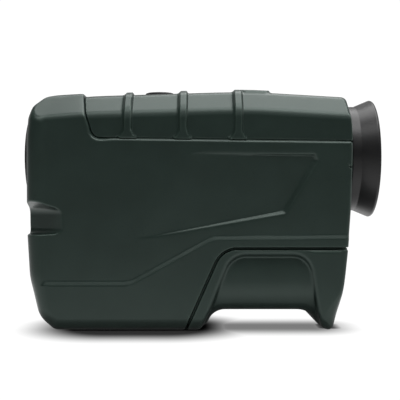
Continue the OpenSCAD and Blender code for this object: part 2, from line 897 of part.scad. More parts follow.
// Roof prism pair in its frame
module prism_frame() {
  z0 = frame_z - frame_wall;
  w = frame_half + frame_wall;
  color("dimgray")
    difference() {
      block(prism_x0 - 1.4, prism_x1 + 1.4, -w, w, z0, axis_z + prism_rise - 1);
      block(prism_x0 - fit, prism_x1 + fit, -frame_half, frame_half, frame_z, big);
      block(prism_x0 - 9, prism_x1 + 9, -frame_half + 2.5, frame_half - 2.5, frame_z + 2, big);
      translate([prism_x0 + 15, 0, axis_z - 1]) rotate([-90, 0, 0]) cylinder(h = 40, r = 3.6);
    }
}

module entry_prism() {
  color("azure")
    translate([prism_x0, 0, axis_z])
      along_y(2 * prism_half)
        polygon([[0, -prism_rise], [13.4, -prism_rise], [5.2, prism_rise], [0, prism_rise]]);
}

module roof_prism() {
  r = prism_rise;
  color("azure")
    translate([prism_x0 + prism_gap, 0, axis_z])
      intersection() {
        along_y(2 * prism_half)
          polygon([[13.4, -r], [18, -r], [22.4, -r + 4], [22.4, r], [5.2, r]]);
        translate([0, 0, r]) rotate([0, 90, 0]) rotate([0, 0, 45]) cube([24, 24, 2 * big], center = true);
        block(-big, big, -big, big, -big, r - 0.6);
      }
}

module receiver_diode() {
  y0 = frame_half + frame_wall;
  color("silver")
    translate([prism_x0 + 15, 0, axis_z - 1])
      rotate([-90, 0, 0]) {
        translate([0, 0, y0 - 1]) cylinder(h = 2, r = 3.4);
        translate([0, 0, y0 + 0.05]) cylinder(h = 1.1, r = 4.3);
        for (x = [-1.2, 1.2])
          translate([x, 0, y0 + 1]) cylinder(h = 2.8, r = 0.22);
      }
}

module receiver_board() {
  y0 = frame_half + frame_wall + 1.3;
  color("darkgreen")
    difference() {
      block(prism_x0 + 8, prism_x0 + 22, y0, y0 + board_t, axis_z - 7.6, axis_z + 5.6);
      for (x = [-1.2, 1.2])
        translate([prism_x0 + 15 + x, 0, axis_z - 1]) rotate([-90, 0, 0]) cylinder(h = 40, r = 0.4);
    }
}

// Display in front of the eyepiece
module display_glass() {
  h = display_half;
  color("lightgray")
    block(display_x, display_x + display_t, -h, h, axis_z - h, axis_z + h);
}

module display_frame() {
  h = display_half + fit;
  color("black")
    difference() {
      intersection() {
        block(display_x - 1, barrel_x0 - 0.1, -h - 1.4, h + 1.4, axis_z - h - 1.4, axis_z + h + 1.4);
        rod(display_x - 2, barrel_x0, axis_z, barrel_r - 1);
      }
      block(display_x - fit, barrel_x0 + 1, -h, h, axis_z - h, axis_z + h);
      rod(display_x - 9, display_x + 9, axis_z, display_half - 1);
      block(display_x - 2, display_x + display_t, -4, 4, axis_z - 20, axis_z);
    }
}

module display_flex() {
  x = display_x - 0.6;
  t = 0.2;
  z = frame_z - frame_wall - 0.75;
  top = main_z + board_t + 0.1;
  color("orange")
    along_y(6.6)
      polygon([
        [x, axis_z - display_half + 3],
        [x, z],
        [main_x1 - 2, z],
        [main_x1 - 2, top + t],
        [main_x1 - 5, top + t],
        [main_x1 - 5, top],
        [main_x1 - 2 + t, top],
        [main_x1 - 2 + t, z - t],
        [x + t, z - t],
        [x + t, axis_z - display_half + 3]
      ]);
}

// Eyepiece group
module eyepiece_barrel() {
  color("dimgray")
    difference() {
      union() {
        rod(barrel_x0, barrel_x1, axis_z, barrel_r);
        rod(flange_x0, flange_x0 + flange_t, axis_z, barrel_r + 1.9);
      }
      rod(barrel_x0 - 1, barrel_x1 + 1, axis_z, barrel_bore);
      pipe(dial_x1 + 0.2, dial_x1 + 0.8, axis_z, barrel_r + 3, barrel_r - 0.6);
      along_y() translate([pin_x, axis_z])
        square([2 * (dial_travel + pin_r + pin_slack), 2 * (pin_r + pin_slack)], center = true);
    }
}

module ocular_cell() {
  color("dimgray")
    difference() {
      rod(ocular_x0, ocular_x1, axis_z, ocular_r);
      rod(ocular_x0 - 1, field_x0 + field_t - 1.6, axis_z, ocular_bore);
      rod(ocular_x0 - 1, ocular_x1 + 1, axis_z, ocular_bore - 1);
      rod(eye_x0 + 1.2, ocular_x1 + 1, axis_z, ocular_bore);
      translate([pin_x, 0, axis_z]) rotate([90, 0, 0]) cylinder(h = big, r = pin_r + 0.02, center = true);
    }
}

module field_lens() {
  r = 26;
  color("powderblue")
    intersection() {
      rod(field_x0, field_x0 + field_t, axis_z, ocular_bore - 0.05);
      translate([field_x0 + field_t - r, 0, axis_z]) sphere(r = r, $fn = 300);
    }
}

module eye_lens() {
  r = 34;
  color("powderblue")
    intersection() {
      rod(eye_x0, eye_x0 + eye_t, axis_z, ocular_bore - 0.05);
      translate([eye_x0 + eye_t - r, 0, axis_z]) sphere(r = r, $fn = 300);
      translate([eye_x0 + r, 0, axis_z]) sphere(r = r, $fn = 300);
    }
}

module ocular_retainer() {
  x0 = eye_x0 + eye_t - 1.2;
  color("black")
    pipe(x0, x0 + 1.6, axis_z, ocular_bore - 0.05, ocular_bore - 1.1);
}

module drive_pins() {
  color("silver")
    both_sides()
      translate([pin_x, -ocular_bore + 0.1, axis_z])
        rotate([90, 0, 0])
          cylinder(h = barrel_r + 0.7 - ocular_bore, r = pin_r);
}

module cam_groove(a0) {
  w = pin_r + pin_slack;
  r0 = barrel_r - 0.5;
  r1 = barrel_r + 0.95;
  n = 20;
  span = dial_turn + 12;
  ring = [[r0, -w], [r0, w], [r1, w], [r1, -w]];
  pts = [for (i = [0:n])
    let (a = -span + 2 * span * i / n, x = pin_x - dial_travel * a / dial_turn)
      for (p = ring) [x + p[1], p[0] * cos(a + a0), axis_z + p[0] * sin(a + a0)]];
  sides = [for (i = [0:n - 1]) for (j = [0:3])
    [4 * i + j, 4 * i + (j + 1) % 4, 4 * i + 4 + (j + 1) % 4, 4 * i + 4 + j]];
  split = [for (f = sides) each [[f[2], f[1], f[0]], [f[3], f[2], f[0]]]];
  last = 4 * n;
  caps = [[1, 2, 3], [0, 1, 3], [last + 2, last + 1, last], [last + 3, last + 2, last]];
  polyhedron(pts, concat(split, caps));
}

module dioptre_ring() {
  color("black")
    difference() {
      pipe(dial_x0, dial_x1, axis_z, dial_r, barrel_r + fit);
      cam_groove(0);
      cam_groove(180);
    }
}

module dioptre_clip() {
  color("silver")
    difference() {
      pipe(dial_x1 + 0.3, dial_x1 + 0.7, axis_z, dial_r - 0.6, barrel_r - 0.5);
      block(dial_x1 - 1, dial_x1 + 2, -1.5, 1.5, axis_z, axis_z + 30);
    }
}

module eyecup() {
  in_r = dial_r + 0.05;
  lip = 0.9;
  flare_x = rear_x + 3.4;
  color("black")
    along_x(0, axis_z)
      rotate_extrude()
        polygon(concat(
          [[in_r, cup_x0], [cup_neck_r - 0.4, cup_x0], [cup_neck_r, cup_x0 + 0.4], [cup_neck_r, flare_x]],
          [[cup_rim_r - 0.25, cup_x1 - 0.9], [cup_rim_r, cup_x1 - 0.45], [cup_rim_r - 0.15, cup_x1 - 0.1]],
          [[cup_rim_r - 0.45, cup_x1], [cup_rim_r - lip, cup_x1 - 0.1]],
          [[cup_rim_r - lip - 1.6, cup_x1 - 1.8], [barrel_r - 0.2, cup_x1 - 1.6]],
          [[barrel_r - 0.2, barrel_x1 + 0.25], [barrel_r + 0.35, barrel_x1 + 0.25]],
          [[barrel_r + 0.35, dial_x1 + 1], [in_r - 0.3, dial_x1 + 1]],
          [[in_r - 0.3, dial_x1 + 0.2], [in_r, dial_x1 + 0.2]]
        ));
}

// Boards and switches
module main_board() {
  color("darkgreen")
    difference() {
      block(main_x0, main_x1, -main_half, main_half, main_z, main_z + board_t);
      for (s = [-1, 1])
        translate([main_x1 - 4, s * (main_half - 1.4), main_z - 1]) cylinder(h = 9, r = 0.75);
    }
}

module board_chips() {
  z = main_z + board_t;
  r = 2.6;
  h = 2.4;
  edge = main_half - 2.5;
  color("black") {
    block(main_x0 + 4, main_x0 + 11, edge - 7, edge, z, z + 0.9);
    block(main_x0 + 4, main_x0 + 9, -edge, 5 - edge, z, z + 1.4);
    block(main_x1 - 13, main_x1 - 6, -edge, 7 - edge, z, z + 0.9);
    block(bulk_x + 2.5, bulk_x + 6.5, -edge, 4 - edge, z, z + 2);
    for (x = [bulk_x - 4.7, bulk_x + 8.3])
      translate([x, edge - r - 0.2, main_z - h]) cylinder(h = h, r = r);
  }
}

module board_screws() {
  color("silver")
    for (s = [-1, 1])
      translate([main_x1 - 4, s * (main_half - 1.4), main_z + board_t]) {
        translate([0, 0, 0.05]) cylinder(h = 0.9, r = 1.3);
        translate([0, 0, -board_t - 1]) cylinder(h = board_t + 1.1, r = 0.6);
      }
}

module key_board() {
  color("darkgreen")
    difference() {
      block(key_x0, key_x1, -key_half, key_half, key_z, key_z + board_t);
      for (x = POSTS)
        translate([x, 0, key_z - 1]) cylinder(h = 9, r = 0.75);
    }
}

module key_screws() {
  color("silver")
    for (x = POSTS)
      translate([x, 0, key_z]) {
        translate([0, 0, -0.95]) cylinder(h = 0.9, r = 1.3);
        translate([0, 0, -0.1]) cylinder(h = board_t + 2.6, r = 0.6);
      }
}

module key_flex() {
  y = half_w - wall - 5.2;
  t = 0.2;
  top = key_z - 0.05;
  foot = main_z + board_t + 0.1;
  color("orange")
    translate([bulk_x + bulk_t / 2 + 0.55, 0, 0])
      rotate([90, 0, 90])
        linear_extrude(5)
          polygon([
            [key_half - 2, top],
            [y + t, top],
            [y + t, foot],
            [y - 3, foot],
            [y - 3, foot + t],
            [y, foot + t],
            [y, top - t],
            [key_half - 2, top - t]
          ]);
}

module switch_bases() {
  z = key_z + board_t;
  color("silver")
    for (x = [power_x, mode_x])
      difference() {
        block(x - 3, x + 3, -3, 3, z, z + switch_h);
        translate([x, 0, z + 0.25]) cylinder(h = 5, r = plunger_r + 0.15);
      }
}

module plunger(x) {
  color("white")
    translate([x, 0, stem_z - plunger_up - switch_h + press + 0.35])
      cylinder(h = plunger_up + switch_h - press - 0.35, r = plunger_r);
}

module power_plunger() {
  plunger(power_x);
}

module mode_plunger() {
  plunger(mode_x);
}

module power_button() {
  flange_z = roof_z(power_x + power_len / 2) - wall - 0.35;
  rim = 0.9;
  color("black")
    translate([power_x, 0, 0]) {
      translate([0, 0, flange_z])
        linear_extrude(roof_z(power_x) + power_proud - flange_z - 0.5) polygon(stadium(power_len, power_w));
      translate([0, 0, flange_z])
        linear_extrude(roof_z(power_x) + power_proud - flange_z)
          polygon(stadium(power_len - 1.2, power_w - 1.2));
      translate([0, 0, flange_z - 0.9])
        linear_extrude(0.9) polygon(stadium(power_len + 2 * rim, power_w + 2 * rim));
      translate([0, 0, stem_z + 0.02]) cylinder(h = flange_z - stem_z, r = plunger_r + 0.6);
    }
}

module mode_button() {
  flange_z = roof_z(mode_x + mode_r) - wall - 0.35;
  color("black")
    translate([mode_x, 0, 0]) {
      translate([0, 0, flange_z]) cylinder(h = roof_z(mode_x) - 0.1 - flange_z, r = mode_r);
      translate([0, 0, flange_z - 0.9]) cylinder(h = 1, r = mode_r + 1);
      translate([0, 0, stem_z + 0.02]) cylinder(h = flange_z - stem_z, r = plunger_r + 0.3);
    }
}

// Battery and its bay
module battery_bay() {
  z1 = bay_z + bay_gap / 2 + wall + 0.1;
  color("dimgray")
    difference() {
      union() {
        intersection() {
          rod(tray_x0, tray_x1, cell_z, tray_out);
          block(-big, big, -big, big, cell_z, big);
        }
        block(tray_x0, tray_x1, -tray_out, tray_out, rail_z, cell_z);
        block(tray_x0 + 6, tray_x1 - 1, -rail_half, rail_half, rail_z, rail_z + rail_t);
        block(tray_x0 + 6, tray_x1 - 2, -rail_half, rail_half, z1, z1 + 1.2);
      }
      rod(tray_x0 + tray_wall, tray_x1 - tray_wall, cell_z, tray_in);
      block(tray_x0 + tray_wall, tray_x1 - tray_wall, -tray_in, tray_in, 0, cell_z);
      for (x = BAY_SCREWS)
        both_sides() translate([x, rail_half - 1.3, z1 - 1]) cylinder(h = 9, r = 0.65);
    }
}

module bay_screws() {
  z1 = bay_z + bay_gap / 2 + wall + 0.1;
  color("silver")
    for (x = BAY_SCREWS)
      both_sides()
        translate([x, rail_half - 1.3, z1]) {
          translate([0, 0, 1.25]) cylinder(h = 0.8, r = 1.2);
          translate([0, 0, -2]) cylinder(h = 3.4, r = 0.6);
        }
}

module battery() {
  color("steelblue") {
    rod(cell_x0, cell_x1 - 1, cell_z, cell_r);
    rod(cell_x1 - 1.5, cell_x1, cell_z, 2.8);
  }
}

module positive_plate() {
  color("silver")
    rod(cell_x1 + 0.05, cell_x1 + 0.05 + plate_t, cell_z, 5);
}

module negative_plate() {
  x = tray_x0 + tray_wall + cell_play / 2;
  color("silver")
    rod(x, x + plate_t, cell_z, 6.4);
}

// Spiral battery spring as one swept wire
spring_x0 = tray_x0 + tray_wall + cell_play / 2 + plate_t + wire_r + 0.05;
spring_x1 = cell_x0 - wire_r - 0.05;
spring_turns = 3;
function spring_at(t) =
  let (r = 5.7 - 3.2 * t, a = 360 * spring_turns * t)
  [spring_x0 + (spring_x1 - spring_x0) * t, r * cos(a), cell_z + r * sin(a)];

module battery_spring() {
  n = 54;
  m = 6;
  pts = [for (i = [0:n])
    let (
      t = i / n,
      c = spring_at(t),
      d = unit(spring_at(min(1, t + 0.01)) - spring_at(max(0, t - 0.01))),
      u = unit(cross(d, [1, 0, 0])),
      v = cross(d, u)
    )
    for (j = [0:m - 1]) c + wire_r * (cos(360 * j / m) * u + sin(360 * j / m) * v)];
  sides = [for (i = [0:n - 1]) for (j = [0:m - 1]) each [
    [m * i + j, m * i + m + (j + 1) % m, m * i + (j + 1) % m],
    [m * i + j, m * i + m + j, m * i + m + (j + 1) % m]
  ]];
  caps = [for (j = [1:m - 2]) each [[0, j, j + 1], [m * n, m * n + j + 1, m * n + j]]];
  color("silver") polyhedron(pts, concat(sides, caps));
}

SPRING_RUN = [for (i = [0:120]) spring_at(i / 120)];
spring_gap = min([for (i = [0:90]) for (j = [i + 30:120]) norm(SPRING_RUN[i] - SPRING_RUN[j])]) - 2 * wire_r;
echo(least_spring_gap = spring_gap);

left_housing();
right_housing();
top_cover();
battery_cover();
housing_screws();
tripod_bush();
objective_ring();
objective_seal();
objective_tube();
objective_crown();
objective_flint();
laser_ring();
laser_lens();
laser_tube();
laser_holder();
laser_diode();
prism_frame();
entry_prism();
roof_prism();
receiver_diode();
receiver_board();
display_glass();
display_frame();
display_flex();
eyepiece_barrel();
ocular_cell();
field_lens();
eye_lens();
ocular_retainer();
drive_pins();
dioptre_ring();
dioptre_clip();
eyecup();
main_board();
board_chips();
board_screws();
key_board();
key_flex();
key_screws();
switch_bases();
power_plunger();
mode_plunger();
power_button();
mode_button();
battery_bay();
bay_screws();
battery();
positive_plate();
negative_plate();
battery_spring();
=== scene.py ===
import math

import bmesh
import bpy
import numpy as np
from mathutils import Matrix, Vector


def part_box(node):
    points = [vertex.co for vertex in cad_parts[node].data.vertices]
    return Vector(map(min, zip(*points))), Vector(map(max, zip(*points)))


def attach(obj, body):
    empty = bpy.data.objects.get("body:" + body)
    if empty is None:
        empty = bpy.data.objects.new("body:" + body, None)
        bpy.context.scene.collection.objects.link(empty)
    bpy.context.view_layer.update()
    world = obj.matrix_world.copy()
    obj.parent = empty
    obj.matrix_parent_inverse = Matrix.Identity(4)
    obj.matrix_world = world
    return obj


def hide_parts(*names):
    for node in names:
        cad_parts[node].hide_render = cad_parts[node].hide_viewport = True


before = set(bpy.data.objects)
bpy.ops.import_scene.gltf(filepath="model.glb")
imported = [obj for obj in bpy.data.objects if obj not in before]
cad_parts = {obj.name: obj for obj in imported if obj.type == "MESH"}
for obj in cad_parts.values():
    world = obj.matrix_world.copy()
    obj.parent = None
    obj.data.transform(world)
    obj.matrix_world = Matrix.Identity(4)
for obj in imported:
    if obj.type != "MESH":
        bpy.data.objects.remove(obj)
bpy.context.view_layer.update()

import openvdb
from mathutils import Vector

MM = 0.001


# Sizes in millimetres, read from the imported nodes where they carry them
def low(node):
    return [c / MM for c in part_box(node)[0]]


def high(node):
    return [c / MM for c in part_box(node)[1]]


def centre(node):
    return [(a + b) / 2 for a, b in zip(low(node), high(node))]


# Housing: its ends, half width, optical axes and height
FRONT = low("left_housing")[0]
REAR = high("left_housing")[0]
HALF = high("right_housing")[1]
AXIS = centre("objective_ring")[2]
EMITTER = centre("laser_ring")[2]
HEIGHT = AXIS + 19.6

# Walls, steps, seams and roundings of the mouldings
WALL = 2.6
STEP = 0.4
INSET = 0.3
SEAM = 0.06
SEAM_DEEP = 0.1
SEAM_OPEN = 0.68
LIP = 0.25
LIP_RUN = 1.11
LIP_SLOPE = 0.676
PARTING = 0.03
PARTING_R = 0.18
GAP = 0.7
GROOVE = 1.35
GROOVE_END = 0.3
FLAT = 13.7
TILT = math.tan(math.radians(46))
BASE_R = 3.8
FRONT_R = 4.5
REAR_R = 1.2
EDGE_CHANGE = (36, 28)
ROOF_R = 0.8
COVER_R = 1.9
COVER_RISE = 0.45

# Crease, saddle, battery bay, ribs, scoop and front notch
CREASE_Z = 13.7
CREASE_SHIFT = 0.5
CREASE_RUN = 1.2
SWELL = 0.085
SLANT_SWELL = 0.065
SWELL_FADE = 4
SADDLE = FRONT + 17.4
LEDGE_DROP = 14.43
LEDGE_SOFT = 0.28
BAY_Z = AXIS - 26.3
BAY_X = FRONT + 45.6
LEAN = math.tan(math.radians(24))
RIB_W = 2.5
RIBS = [FRONT + 29.45 + 15.85 * i for i in range(3)]
POCKET = 0.85
POCKET_OVER = 0.35
POCKET_FOOT = 0.9
POCKET_R = 4.2
POCKET_TOP = 90
FLANKS = (1.2, 0.6)
PAD = (RIBS[2] + RIB_W / 2, RIBS[2] + RIB_W / 2 + 7.5)
ARCH = 5.6
SCOOP_TOP = BAY_Z - 2.4
SCOOP_DEPTH = 0.95
SCOOP_Z = 14.0
LID_WALL = 1.8
LID_HALF = 15.3
NOTCH_TOP = 34.5
NOTCH_LOW = 27.7
NOTCH_FRONT = 8.6
NOTCH_BACK = 11.2

# Radii of the bores and bosses, and half widths of the slots
OBJECTIVE_BORE = 12.2
LASER_BORE = 8.35
LASER_SEAT = 8.98
BARREL_BORE = 13.15
BUSH_BORE = 5.08
FLANGE_BORE = 6.15
BUSH_BOSS = 7.2
BUSH_TOP = 8
SCREW_BOSS = 2.3
PILOT = 1.15
SHANK = 1.2
HEAD = 2.1
TRAY_HALF = 9.35
SLOT_HALF = 5.3

# Meshing: grid step, merging of flat facets, reach of the measures taken, angle of sharp edges
FINE = 0.3
ADAPT = 0.0005
SLOPE_REACH = 0.6
BEND_REACH = 1.5
SETTLE_REACH = 0.08
SETTLE_MOST = 0.12
SHARP = math.radians(35)


def ledge(x):
    return HEIGHT - LEDGE_DROP - (x - SADDLE) / (REAR - SADDLE)


# Outlines with rounded corners
def corner(a, b, c, r):
    a = np.array(a[:2], float)
    b = np.array(b[:2], float)
    c = np.array(c[:2], float)
    u = (a - b) / np.linalg.norm(a - b)
    v = (c - b) / np.linalg.norm(c - b)
    half = math.acos(max(-1.0, min(1.0, float(u @ v)))) / 2
    mid = (u + v) / np.linalg.norm(u + v)
    o = b + mid * r / math.sin(half)
    s = b + u * r / math.tan(half) - o
    e = b + v * r / math.tan(half) - o
    a0 = math.atan2(s[1], s[0])
    turn = math.atan2(e[1], e[0]) - a0
    turn = (turn + math.pi) % (2 * math.pi) - math.pi
    n = max(3, int(abs(math.degrees(turn)) / 6) + 1)
    angles = [a0 + turn * i / n for i in range(n + 1)]
    return [o + r * np.array([math.cos(t), math.sin(t)]) for t in angles]


def rounded(pts, closed=True):
    out = []
    n = len(pts)
    for i, p in enumerate(pts):
        end = not closed and i in (0, n - 1)
        if p[2] == 0 or end:
            out.append(np.array(p[:2], float))
        else:
            out.extend(corner(pts[i - 1], p, pts[(i + 1) % n], p[2]))
    return np.array(out)


# Outlines in side view as (x, z, rounding); the hood is the side outline with a fuller front roof
SIDE_PTS = [
    (FRONT + 8.3, 0, 3), (FRONT + 3.9, 3.8, 8), (FRONT + 1.0, 15, 20), (FRONT + 0.1, 30, 100),
    (FRONT, HEIGHT - 14.6, 30), (FRONT + 2.1, HEIGHT - 5.6, 4), (FRONT + 5.7, HEIGHT - 2.7, 6),
    (FRONT + 16.7, HEIGHT - 1.4, 100), (FRONT + 62.7, HEIGHT, 200), (REAR - 1.3, HEIGHT - 1.75, 2.5),
    (REAR, HEIGHT - 13.6, 100), (REAR - 0.6, HEIGHT - 31.6, 150), (REAR - 1.6, 23.8, 100),
    (REAR - 2.9, 11.5, 60), (REAR - 5.9, 0, 1.6),
]
SIDE = rounded(SIDE_PTS)
HOOD_PTS = SIDE_PTS[:4] + [
    (FRONT, HEIGHT - 14.6, 30), (FRONT + 0.5, HEIGHT - 8.6, 5), (FRONT + 1.9, HEIGHT - 5.0, 3),
    (FRONT + 4.9, HEIGHT - 2.15, 4), (FRONT + 8.0, HEIGHT - 1.55, 20), (FRONT + 17.4, HEIGHT - 1.0, 50),
    (FRONT + 62.7, HEIGHT + 0.3, 200),
] + SIDE_PTS[9:]
HOOD = rounded(HOOD_PTS)
CREST = rounded([
    (FRONT - 9, HEIGHT - 2.6, 0), (FRONT + 5.7, HEIGHT - 2.3, 60), (FRONT + 16.7, HEIGHT - 1.4, 100),
    (FRONT + 62.7, HEIGHT, 200), (REAR + 9, HEIGHT - 2.35, 0),
], False)
HOOD_LIFT = 0.4
SADDLE_LINE = rounded([
    (SADDLE - 1.2, HEIGHT + 20, 0), (SADDLE - 1.1, HEIGHT - 2, 20), (SADDLE, HEIGHT - 8, 14),
    (SADDLE + 2.2, ledge(SADDLE + 2.2), 2.9), (REAR + 20, ledge(REAR + 20), 0),
    (REAR + 20, HEIGHT + 20, 0),
])
BAY_LINE = rounded([
    (BAY_X - 10 * LEAN, -10, 0), (BAY_X + BAY_Z * LEAN, BAY_Z, 7), (REAR + 60, BAY_Z, 0),
    (REAR + 60, -10, 0),
])
ARCH_X0 = BAY_X + 6
ARCH_X1 = REAR - 9.4
ARCH_LINE = rounded([
    (ARCH_X0 - 2, -5, 0), (ARCH_X0 + 2.4, ARCH, 5), (ARCH_X1 - 2.4, ARCH, 6), (ARCH_X1 + 2, -5, 0),
])
SCOOP_LINE = rounded([
    (ARCH_X0 - 2.6, -5, 0), (BAY_X + 13.6, SCOOP_TOP, 6), (REAR - 14, SCOOP_TOP, 5),
    (REAR - 12.4, SCOOP_TOP - 4.4, 3), (REAR - 9, -5, 0),
])
CREASE_LINE = rounded([
    (FRONT - 20, CREASE_Z, 0), (FRONT + 30.2, CREASE_Z, 8), (FRONT + 53.6, BAY_Z + 2.9, 7),
    (REAR + 20, BAY_Z + 3.5, 0), (REAR + 20, HEIGHT + 20, 0), (FRONT - 20, HEIGHT + 20, 0),
])

# Sunken side panel: hinge line, corners, depth, and how steep the edge from corner to corner is
HINGE = np.array([[FRONT + 47.0, AXIS + 0.4], [FRONT + 32.0, AXIS - 23.8]])
PANEL_PTS = [
    (HINGE[0][0], HINGE[0][1]), (REAR - 11.2, AXIS + 0.15), (REAR - 10.45, AXIS - 1.6),
    (REAR - 19.6, AXIS - 16.4), (HINGE[1][0], HINGE[1][1]),
]
PANEL_DEPTH = 0.9
PANEL_EDGES = ((0, 1, 2.2), (1, 2, 1.2), (2, 3, 0.8), (3, 4, 1.0))
PANEL_OUT = 0.15

# Places of the screws, the bush and the buttons; half sizes, radii and heights of the button caps
SCREWS = [
    (FRONT + 13.4, (AXIS - 12 + EMITTER + 8.175) / 2), (FRONT + 15, 6.4),
    (REAR - 43.4, AXIS - 20.3), (REAR - 24, AXIS - 12.95),
]
BUSH_X = centre("tripod_bush")[0]
POWER_X = centre("power_plunger")[0]
MODE_X = centre("mode_plunger")[0]
POWER_RISE = 0.2
POWER_DISH = 14.0
POWER_DISH_UP = 13.7
POWER_CAP = (4.5, 7.0)
POWER_HOLE = (4.8, 7.3)
POWER_FLANGE = (5.4, 7.9)
POWER_STEM = 2.1
POWER_BASE = 64.6
POWER_SKIRT = 64.9
MODE_DISH = 8.0
MODE_DISH_UP = 7.75
MODE_CAP = 3.0
MODE_HOLE = 3.3
MODE_FLANGE = 4.0
MODE_STEM = 1.8
MODE_BASE = 64.4
MODE_SKIRT = 64.6
SKIRT_HALF = 0.45
STEM_TOP = 66

# Quarter-inch tripod thread, 20 turns to the inch
MINOR = 2.6
MAJOR = 3.175
PITCH = 1.27
THREAD_ROWS = 44
ROWS_PER_TURN = 8
BORE_DEEP = 7.6


# Distance fields: negative inside, in millimetres, on broadcast coordinates
def ramp(a, b, v):
    t = np.clip((v - a) / (b - a), 0.0, 1.0)
    return t * t * (3 - 2 * t)


def meet(a, b, r):
    u = np.maximum(a + r, 0.0)
    v = np.maximum(b + r, 0.0)
    return np.minimum(np.maximum(a, b), -r) + np.sqrt(u * u + v * v)


def bevel(a, b, la, lb, soft):
    flat = (a * lb + b * la + la * lb) / np.hypot(la, lb)
    return -lesser(-np.maximum(a, b), -flat, soft)


def cut(a, b, r):
    return meet(a, -b, r)


def lesser(a, b, k):
    return (a + b - np.sqrt((a - b) ** 2 + k * k)) / 2


def poly(x, z, pts):
    best = 1e9
    wind = 0
    for i in range(len(pts)):
        ax, az = pts[i - 1]
        ex = pts[i][0] - ax
        ez = pts[i][1] - az
        wx = x - ax
        wz = z - az
        t = np.clip((wx * ex + wz * ez) / (ex * ex + ez * ez), 0.0, 1.0)
        best = np.minimum(best, (wx - ex * t) ** 2 + (wz - ez * t) ** 2)
        turn = ex * wz - ez * wx
        up = (wz >= 0) & (wz < ez) & (turn > 0)
        down = (wz < 0) & (wz >= ez) & (turn < 0)
        wind = wind + up.astype(np.int8) - down.astype(np.int8)
    return np.where(wind != 0, -1.0, 1.0) * np.sqrt(best)


def box2(u, v, hu, hv, r):
    qu = np.abs(u) - hu + r
    qv = np.abs(v) - hv + r
    out = np.sqrt(np.maximum(qu, 0) ** 2 + np.maximum(qv, 0) ** 2)
    return out + np.minimum(np.maximum(qu, qv), 0) - r


def box3(x, y, z, lo, hi, r):
    q = [np.abs(c - (a + b) / 2) - (b - a) / 2 + r for c, a, b in zip((x, y, z), lo, hi)]
    out = np.sqrt(np.maximum(q[0], 0) ** 2 + np.maximum(q[1], 0) ** 2 + np.maximum(q[2], 0) ** 2)
    return out + np.minimum(np.maximum(np.maximum(q[0], q[1]), q[2]), 0) - r


def crest(x):
    return np.interp(x, CREST[:, 0], CREST[:, 1])


# Outer form: the side outline, the half width and the sloped roof edges
def body(x, y, z, wide, side=SIDE, lift=0.0, roof=ROOF_R):
    ay = np.abs(y)
    edge = REAR_R + (FRONT_R - REAR_R) * ramp(*EDGE_CHANGE, x)
    edge = edge + (BASE_R - edge) * ramp(12, 4, z)
    d = meet(poly(x, z, side), ay - wide, edge)
    rise = crest(x) + lift
    grade = (crest(x + 0.2) - crest(x - 0.2)) / 0.4
    slope = (z - rise + (ay - FLAT) * TILT) / np.sqrt(1 + TILT * TILT + grade * grade)
    return meet(d, slope, roof)


# Half width of the side wall, with the lower crease and the sunken panel
def side_width(x, z):
    crease = poly(x, z, CREASE_LINE)
    nose = ramp(FRONT + 6.6, FRONT + 4.4, x)
    below = np.clip((crease + CREASE_SHIFT) / CREASE_RUN, 0.0, 1.0)
    slant = ramp(FRONT + 28, FRONT + 34, x) * ramp(FRONT + 54, FRONT + 48, x)
    swell = (SWELL + SLANT_SWELL * slant) * np.exp(-np.abs(crease) / SWELL_FADE)
    swell = swell * (2 * below - 1) * (1 - nose)
    wide = HALF - STEP + STEP * np.maximum(below, nose) + swell
    run = HINGE[1] - HINGE[0]
    run = run / np.linalg.norm(run)
    away = -((x - HINGE[0][0]) * run[1] - (z - HINGE[0][1]) * run[0])
    far = -((PANEL_PTS[1][0] - HINGE[0][0]) * run[1] - (PANEL_PTS[1][1] - HINGE[0][1]) * run[0])
    depth = PANEL_DEPTH * (0.1 * ramp(0, 8, away) + 0.9 * np.clip(away / far, 0.0, 1.2))
    step = depth
    for a, b, steep in PANEL_EDGES:
        ax, az = PANEL_PTS[a]
        ex = PANEL_PTS[b][0] - ax
        ez = PANEL_PTS[b][1] - az
        inside = ((z - az) * -ex + (x - ax) * ez) / -math.hypot(ex, ez)
        rise = PANEL_OUT - inside
        step = lesser(step, steep * (rise + np.sqrt(rise * rise + 0.05)) / 2, 0.12)
    return wide - np.clip(step, 0.0, None)


# How near a point is above the ledge, and the lip along it
def low_edge(x, z):
    return ramp(4.0, 1.2, z - ledge(x))


def lip(x, y, z, slope=0.0):
    depth = HALF - STEP - np.abs(y)
    rise = LIP - slope * np.clip(LIP_RUN - depth, 0.0, LIP_RUN)
    return rise * ramp(1.3, 1.1, depth) * low_edge(x, z) * ramp(SADDLE + 5, SADDLE + 8, x)


# Open seam round the battery cover
def groove(x, y, d, wide):
    deep = GROOVE_END + (GROOVE - GROOVE_END) * ramp(REAR - 2.6, REAR - 5.0, x)
    return np.minimum(d + deep, np.abs(y) - wide + 4)


# Cut at the front corners of the housing, with a roof and a sill
def notch(x, y, z):
    run = math.hypot(NOTCH_FRONT, NOTCH_BACK)
    out = (-(x - FRONT) * NOTCH_FRONT + (np.abs(y) - HALF + NOTCH_FRONT) * NOTCH_BACK) / run
    roof = (2 * (z - NOTCH_TOP) - out) / math.sqrt(5)
    sill = NOTCH_LOW - z - 0.08 * out
    return meet(meet(-out, roof, 1.2), sill, 1.4)


